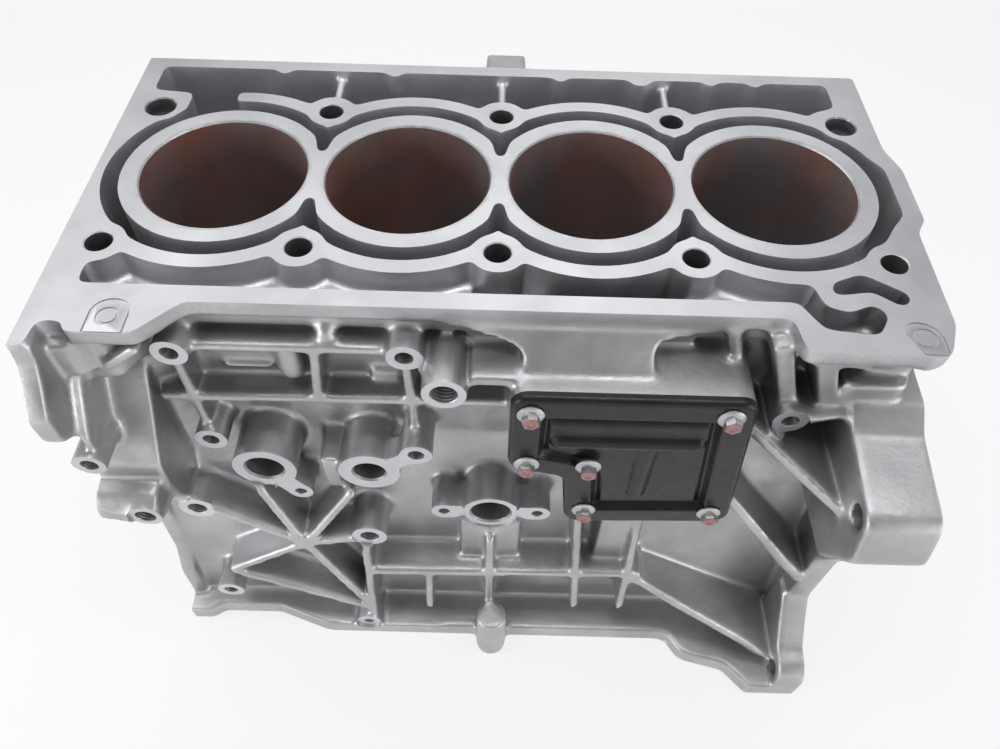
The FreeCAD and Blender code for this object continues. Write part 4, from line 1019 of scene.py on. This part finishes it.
def grown(outline: Points, distance: float) -> Points:
    """An outline moved outwards along its normals; negative distances move it in."""
    ahead = np.roll(outline, -1, axis=0)
    behind = np.roll(outline, 1, axis=0)
    area = np.sum(outline[:, 0] * ahead[:, 1] - ahead[:, 0] * outline[:, 1])
    way = ahead - behind
    normal = np.column_stack([way[:, 1], -way[:, 0]]) / np.linalg.norm(way, axis=1)[:, None]
    return outline + normal * distance * (1.0 if area > 0 else -1.0)


# The breather cover and its bolts

COVER_OUTLINE = [
    (7.0, 183.0, 8.0),
    (108.0, 183.0, 8.0),
    (119.0, 81.0, 9.0),
    (37.0, 77.0, 9.0),
    (33.0, 121.0, 7.0),
    (7.0, 128.0, 9.0),
]


@dataclass
class BreatherCover:
    """The pressed steel cover: a rolled edge, a raised rim, a sunk panel with a step, and a tee of beads."""

    seat: float = 102.0
    rise: float = 4.5
    roll: float = 3.0
    thickness: float = 1.5
    middle: Spot = (68.0, 130.0)
    rim: float = 14.0
    sunk: float = 5.5
    step: float = 3.0
    step_top: float = 167.0
    step_foot: float = 161.0
    bead: float = 2.9
    bead_half: float = 4.9
    tee: tuple[tuple[Spot, Spot], ...] = (((30.0, 149.0), (89.0, 149.0)), ((69.0, 149.0), (69.0, 107.0)))
    rim_depth: float = 20.0
    rim_rings: int = 55
    panel_rings: int = 60
    back_thinning: int = 3
    around: int = 520

    def build(self) -> bpy.types.Object:
        """Makes both faces of the plate and the edge between them.

        Returns:
            The cover.
        """
        share = self.shares()
        thinned = share[::-1][::self.back_thinning][::-1]
        front = self.face(share, 0.0)
        back = self.face(thinned, self.thickness)
        count = len(front)
        edge = grid_faces(2, self.around)
        rim_front = count - self.around
        rim_back = count + len(back) - self.around
        edge = np.where(edge < self.around, edge + rim_front, edge - self.around + rim_back)
        points = np.concatenate([front, back])
        faces = np.concatenate([
            grid_faces(len(share), self.around), grid_faces(len(thinned), self.around)[:, ::-1] + count, edge,
        ])
        caps = (tuple(range(self.around - 1, -1, -1)), tuple(range(count, count + self.around)))
        mesh = mesh_from("cover_pressing", points, faces, caps)
        face_outwards(mesh)
        mesh.materials.append(CoverPaint().material())
        mesh.set_sharp_from_angle(angle=math.radians(50.0))
        piece = new_object("cover_pressing", mesh)
        place_piece(piece, ("breather_cover",))
        return piece

    def edge(self) -> Points:
        """The cover's outline with its corners rounded."""
        return rounded_outline(COVER_OUTLINE, 12)

    def shares(self) -> Points:
        """Share of the way from the middle to the outline at which each ring crosses each ray.

        Near the edge a ring stays at one depth inside the outline, so that the folds of the pressing run
        along it, and further in the rings close evenly towards the middle.

        Returns:
            Rows of shares from the middle to the edge, with a column for each ray.
        """
        outline = evenly(self.edge(), self.around)
        middle = np.array(self.middle)
        hub = 0.004
        fine = np.linspace(1.0, hub, 300)
        flat = (middle + fine[:, None, None] * (outline - middle)).reshape(-1, 2)
        depth = distance_inside(flat, self.edge()).reshape(len(fine), self.around)
        depth[0] = 0.0
        depth = np.maximum.accumulate(depth, axis=0)
        ray = np.arange(self.around)
        rows = [np.ones(self.around)]
        for wanted in np.linspace(0.0, self.rim_depth, self.rim_rings)[1:]:
            after = np.sum(depth < wanted, axis=0)
            part = (wanted - depth[after - 1, ray]) / (depth[after, ray] - depth[after - 1, ray])
            rows.append(fine[after - 1] + part * (fine[after] - fine[after - 1]))
        closing = np.linspace(0.0, 1.0, self.panel_rings)[1:, None]
        rows = np.vstack([np.array(rows), rows[-1] * (1.0 - closing) + hub * closing])
        return rows[::-1]

    def face(self, share: Points, behind: float) -> Points:
        """Points of one face: place = middle + share * (outline - middle), with the height of the pressing.

        Args:
            share: Rows of shares from the middle to the edge.
            behind: Distance of this face behind the outer one.

        Returns:
            The rows of points from the middle to the edge.
        """
        outline = evenly(self.edge(), self.around)
        middle = np.array(self.middle)
        flat = (middle + share[:, :, None] * (outline - middle)).reshape(-1, 2)
        height = self.height(flat) - behind
        height = np.maximum(height, self.seat - self.seat_depth(flat))
        return np.column_stack([flat[:, 0], -height, flat[:, 1]])

    def seat_depth(self, flat: Points) -> Points:
        """How far behind the seat the plate may reach: nothing on the rim, the panel's depth inside it."""
        inside = distance_inside(flat, self.edge())
        return np.where(inside > self.rim - 1.0, self.sunk, 0.0)

    def height(self, flat: Points) -> Points:
        """Distance of the outer face in front of the crankshaft axis.

        The rim stands above the seat, and a quarter circle takes its edge down to it. A smooth slope takes
        the panel back where the place is further inside than the rim, a step brings its lower part forward
        again, and each bead adds a round crown: one minus the squared share of its half width.
        """
        inside = distance_inside(flat, self.edge())
        height = np.full(len(flat), self.seat + self.rise)
        edge = np.clip(self.roll - inside, 0.0, self.roll)
        height -= self.roll - np.sqrt(self.roll**2 - edge**2)
        height -= self.sunk * smooth((inside - self.rim + 1.5) / 4.0)
        within = smooth((inside - self.rim) / 5.0)
        height += self.step * smooth((self.step_top - flat[:, 1]) / (self.step_top - self.step_foot)) * within
        away = np.full(len(flat), np.inf)
        for start, end in self.tee:
            away = np.minimum(away, distance_to_run(flat, np.array(start), np.array(end)))
        share = np.clip(away / self.bead_half, 0.0, 1.0)
        height += self.bead * (1.0 - share**2) * within
        return height


def smooth(share: Points) -> Points:
    """Three s squared minus two s cubed, with s held between 0 and 1."""
    held = np.clip(share, 0.0, 1.0)
    return held * held * (3.0 - 2.0 * held)


def evenly(outline: Points, count: int) -> Points:
    """The closed outline as a given count of points at even distances along it."""
    closed = np.vstack([outline, outline[:1]])
    steps = np.linalg.norm(np.diff(closed, axis=0), axis=1)
    along = np.concatenate([[0.0], np.cumsum(steps)])
    places = np.linspace(0.0, along[-1], count, endpoint=False)
    return np.column_stack([np.interp(places, along, closed[:, axis]) for axis in range(2)])


def distance_inside(flat: Points, outline: Points) -> Points:
    """Distance of each place from the nearest edge of an outline that it lies inside."""
    nearest = np.full(len(flat), np.inf)
    for start, end in zip(outline, np.roll(outline, -1, axis=0)):
        if np.linalg.norm(end - start) > 1e-9:
            nearest = np.minimum(nearest, distance_to_run(flat, start, end))
    return nearest


@dataclass
class CoverBolts:
    """Six small flange bolts that hold the cover, with dabs of paint on their heads."""

    places: tuple[Spot, ...] = (
        (15.5, 173.0), (15.5, 134.0), (43.5, 133.0), (45.5, 92.0), (107.0, 92.0), (98.0, 174.0),
    )
    seat: float = 106.5
    flange: float = 5.8
    flats: float = 3.35
    head: float = 5.8
    segments: int = 72

    def build(self) -> list[bpy.types.Object]:
        """Makes each bolt and the paint on its head.

        Returns:
            The pieces.
        """
        steel = PlainMetal("zinc_plate", (0.56, 0.565, 0.57), (0.42, 0.425, 0.43), 0.9, 0.33).material()
        paint = MarkPaint().material()
        pieces = []
        for number, (x, z) in enumerate(self.places, start=1):
            mesh = self.bolt(f"cover_bolt_{number}", (x, -self.seat, z), 0.35 * number)
            mesh.materials.append(steel)
            mesh.materials.append(paint)
            self.paint_head(mesh)
            mesh.set_sharp_from_angle(angle=math.radians(28.0))
            piece = new_object(f"cover_bolt_{number}", mesh)
            place_piece(piece)
            pieces.append(piece)
        return pieces

    def bolt(self, name: str, place: Place, turn: float) -> bpy.types.Mesh:
        """One bolt: the radius goes from a circle at the flange to a hexagon at the head.

        The hexagon's radius at an angle is its half width over the cosine of the angle from the
        nearest flat, and each ring mixes it with a circle by a share.

        Args:
            name: Name of the mesh.
            place: Middle of the flange's underside.
            turn: Angle that the head is turned by.

        Returns:
            The mesh.
        """
        angle = circle_angles(self.segments)
        off = np.mod(angle + math.pi / 6.0, math.pi / 3.0) - math.pi / 6.0
        flange, flats, head = self.flange, self.flats, self.head
        rings = np.array([
            (flange - 0.3, 0.0, 0.0), (flange, 0.0, 0.3), (flange, 0.0, 0.9), (flange - 0.4, 0.0, 1.2),
            (flats * 1.19, 0.0, 1.9), (flats, 1.0, 2.0), (flats, 1.0, head - 0.8),
            (flats * 0.93, 1.0, head - 0.15), (flats * 0.86, 0.5, head), (flats * 0.55, 0.2, head),
            (flats * 0.5, 0.0, head - 0.35),
        ])
        size, share, height = rings[:, 0:1], rings[:, 1:2], rings[:, 2:3]
        radius = size * (1.0 - share + share / np.cos(off))
        return ringed(name, radius, height, angle + turn, place, Axis.FRONT)

    def paint_head(self, mesh: bpy.types.Mesh) -> None:
        """Puts paint on the faces at the top of the head and on its lower flats."""
        painted = -read_faces(mesh, "center")[:, 1] / MM > self.seat + self.head - 0.9
        mesh.polygons.foreach_set("material_index", painted.astype(np.int32))


# Liners and the small steel and iron pieces


@dataclass
class Liners:
    """Four cast-in iron liners, honed, with a small chamfer at the top."""

    bore: float = 37.5
    wall: float = 2.0
    length: float = 130.0
    chamfer: float = 0.7
    segments: int = 192

    def build(self) -> list[bpy.types.Object]:
        """Makes each liner as a closed profile carried round its axis.

        Returns:
            The liners.
        """
        honed = HonedIron().material()
        rim = PlainMetal("liner_rim", (0.58, 0.585, 0.60), (0.46, 0.46, 0.47), 0.9, 0.33).material()
        pieces = []
        angle = circle_angles(self.segments)
        outer = self.bore + self.wall
        profile = np.array([
            (self.bore, -self.length), (outer, -self.length), (outer, -0.02), (outer - 0.02, 0.0),
            (self.bore + self.chamfer, 0.0), (self.bore, -self.chamfer),
            (self.bore, -self.chamfer - 0.3), (self.bore, -self.length * 0.5),
        ])
        radius, height = profile[:, :1], profile[:, 1:]
        quads = grid_faces(len(profile), self.segments, wrap_rows=True)
        for number, x in enumerate(BORES, start=1):
            points = np.stack(np.broadcast_arrays(
                x + radius * np.cos(angle), radius * np.sin(angle), DECK + height), axis=2)
            mesh = mesh_from(f"liner_{number}", points.reshape(-1, 3), quads)
            mesh.materials.append(honed)
            mesh.materials.append(rim)
            top = read_faces(mesh, "center")[:, 2] / MM > DECK - self.chamfer
            mesh.polygons.foreach_set("material_index", top.astype(np.int32))
            mesh.set_sharp_from_angle(angle=math.radians(30.0))
            piece = new_object(f"liner_{number}", mesh)
            place_piece(piece, (f"cylinder_liner_{number}",))
            pieces.append(piece)
        return pieces


@dataclass
class PackedPieces:
    """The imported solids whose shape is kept: main caps, their bolts and the gallery plug."""

    def build(self, nodes: dict[str, bpy.types.Object]) -> None:
        """Gives each kept solid its finish."""
        iron = PlainMetal("cap_iron", (0.30, 0.30, 0.31), (0.21, 0.21, 0.22), 0.7, 0.5, 0.0003).material()
        steel = PlainMetal("bolt_steel", (0.34, 0.34, 0.35), (0.24, 0.24, 0.25), 0.9, 0.36).material()
        for name, node in nodes.items():
            finish = None
            if name.startswith("main_bearing_cap"):
                finish = iron
            elif name.startswith("main_cap_bolt") or name == "oil_gallery_plug":
                finish = steel
            if finish is not None:
                node.data.materials.clear()
                node.data.materials.append(finish)


# Studio


@dataclass
class Studio:
    """A pale floor in millimetres, and a soft light all round, wide lamps and the camera in metres."""

    lens: float = 28.757
    place: Place = (0.00077272, -0.29238364, 0.44388027)
    right: Place = (0.99959952, 0.0191606, 0.02082489)
    down: Place = (0.02785559, -0.79591336, -0.60476937)
    forward: Place = (0.00498706, 0.60510726, -0.79612834)
    floor_gap: float = 0.4
    floor_half: float = 4000.0
    floor_white: float = 0.72

    def build(self) -> None:
        """Puts up the floor, the lights and the camera."""
        self.floor()
        self.world()
        self.lamp("lamp_back", (-0.25, 0.62, 1.15), (0.0, 0.0, 0.1), (1.9, 0.8), 5.0)
        self.lamp("lamp_top", (0.0, -0.12, 1.25), (0.0, 0.0, 0.1), (1.4, 0.16), 4.5)
        self.lamp("lamp_low", (0.0, -1.5, 0.12), (0.0, 0.0, 0.05), (2.2, 0.4), 2.0)
        self.lamp("lamp_left", (-1.15, -0.7, 0.3), (0.0, 0.0, 0.05), (0.8, 0.7), 7.0)
        self.lamp("lamp_right", (1.15, -0.75, 0.3), (0.0, 0.0, 0.05), (0.8, 0.7), 5.0)
        self.camera()

    def floor(self) -> None:
        """A wide pale floor just under the pan rail."""
        half = self.floor_half
        top = RAIL - self.floor_gap
        mesh = slab("floor", (-half, -half, top - 20.0), (half, half, top))
        nodes = Nodes("pale_floor")
        nodes.set("Base Color", (0.88, 0.88, 0.88, 1.0))
        nodes.set("Roughness", 0.8)
        nodes.set("Specular IOR Level", 0.2)
        path = nodes.add("ShaderNodeLightPath")
        seen = nodes.math("MAXIMUM", path.outputs["Is Camera Ray"], path.outputs["Is Glossy Ray"])
        seen = nodes.math("MAXIMUM", seen, path.outputs["Is Transmission Ray"])
        white = nodes.add("ShaderNodeEmission", Color=(1.0, 1.0, 1.0, 1.0), Strength=1.0)
        mixed = nodes.add("ShaderNodeMixShader")
        nodes.link(nodes.math("MULTIPLY", seen, self.floor_white), mixed.inputs[0])
        nodes.link(nodes.shader.outputs[0], mixed.inputs[1])
        nodes.link(white.outputs[0], mixed.inputs[2])
        nodes.link(mixed.outputs[0], nodes.tree.nodes["Material Output"].inputs["Surface"])
        mesh.materials.append(nodes.material)
        new_object("floor", mesh)

    def world(self) -> None:
        """Soft light all round, weaker from the front, and white where the camera looks past the floor."""
        world = bpy.data.worlds.new("studio")
        bpy.context.scene.world = world
        world.use_nodes = True
        tree = world.node_tree
        soft = tree.nodes["Background"]
        soft.inputs["Color"].default_value = (0.97, 0.975, 1.0, 1.0)
        way = tree.nodes.new("ShaderNodeTexCoord")
        split = tree.nodes.new("ShaderNodeSeparateXYZ")
        strength = tree.nodes.new("ShaderNodeMapRange")
        tree.links.new(way.outputs["Generated"], split.inputs[0])
        tree.links.new(split.outputs["Y"], strength.inputs["Value"])
        for key, value in (("From Min", -0.9), ("From Max", 0.6), ("To Min", 0.36), ("To Max", 0.58)):
            strength.inputs[key].default_value = value
        tree.links.new(strength.outputs["Result"], soft.inputs["Strength"])
        seen = tree.nodes.new("ShaderNodeBackground")
        seen.inputs["Color"].default_value = (1.0, 1.0, 1.0, 1.0)
        path = tree.nodes.new("ShaderNodeLightPath")
        mixed = tree.nodes.new("ShaderNodeMixShader")
        tree.links.new(path.outputs["Is Camera Ray"], mixed.inputs[0])
        tree.links.new(soft.outputs[0], mixed.inputs[1])
        tree.links.new(seen.outputs[0], mixed.inputs[2])
        tree.links.new(mixed.outputs[0], tree.nodes["World Output"].inputs["Surface"])

    def lamp(self, name: str, place: Place, target: Place, size: Spot, power: float) -> None:
        """A wide soft lamp that points at a target.

        Args:
            name: Name of the lamp.
            place: Where it stands.
            target: What it points at.
            size: Its width and height.
            power: Its power in watts.
        """
        light = bpy.data.lights.new(name, "AREA")
        light.shape = "RECTANGLE"
        light.size, light.size_y = size
        light.energy = power
        lamp = bpy.data.objects.new(name, light)
        back = np.array(place) - np.array(target)
        back /= np.linalg.norm(back)
        side = np.cross((0.0, 0.0, 1.0), back)
        side /= np.linalg.norm(side)
        turn = Matrix(np.column_stack([side, np.cross(back, side), back]).tolist()).to_4x4()
        turn.translation = place
        lamp.matrix_world = turn
        bpy.context.scene.collection.objects.link(lamp)

    def camera(self) -> None:
        """The camera at the photograph's place, with its axes as columns."""
        data = bpy.data.cameras.new("camera")
        data.lens = self.lens
        data.sensor_width = 36.0
        data.clip_start = 0.01
        data.clip_end = 50.0
        camera = bpy.data.objects.new("camera", data)
        right, down, forward = (np.array(way) for way in (self.right, self.down, self.forward))
        turn = Matrix(np.column_stack([right, -down, -forward]).tolist()).to_4x4()
        turn.translation = self.place
        camera.matrix_world = turn
        bpy.context.scene.collection.objects.link(camera)
        bpy.context.scene.camera = camera


def main() -> None:
    """Builds the pieces in order; each placed piece logs its vertex count."""
    logging.basicConfig(level=logging.INFO, format="%(message)s")
    bpy.context.scene.view_settings.view_transform = "Standard"
    nodes = frame["nodes"]
    Casting().build(nodes)
    Liners().build()
    BreatherCover().build()
    CoverBolts().build()
    PackedPieces().build(nodes)
    Studio().build()


if __name__ == "__main__":
    main()
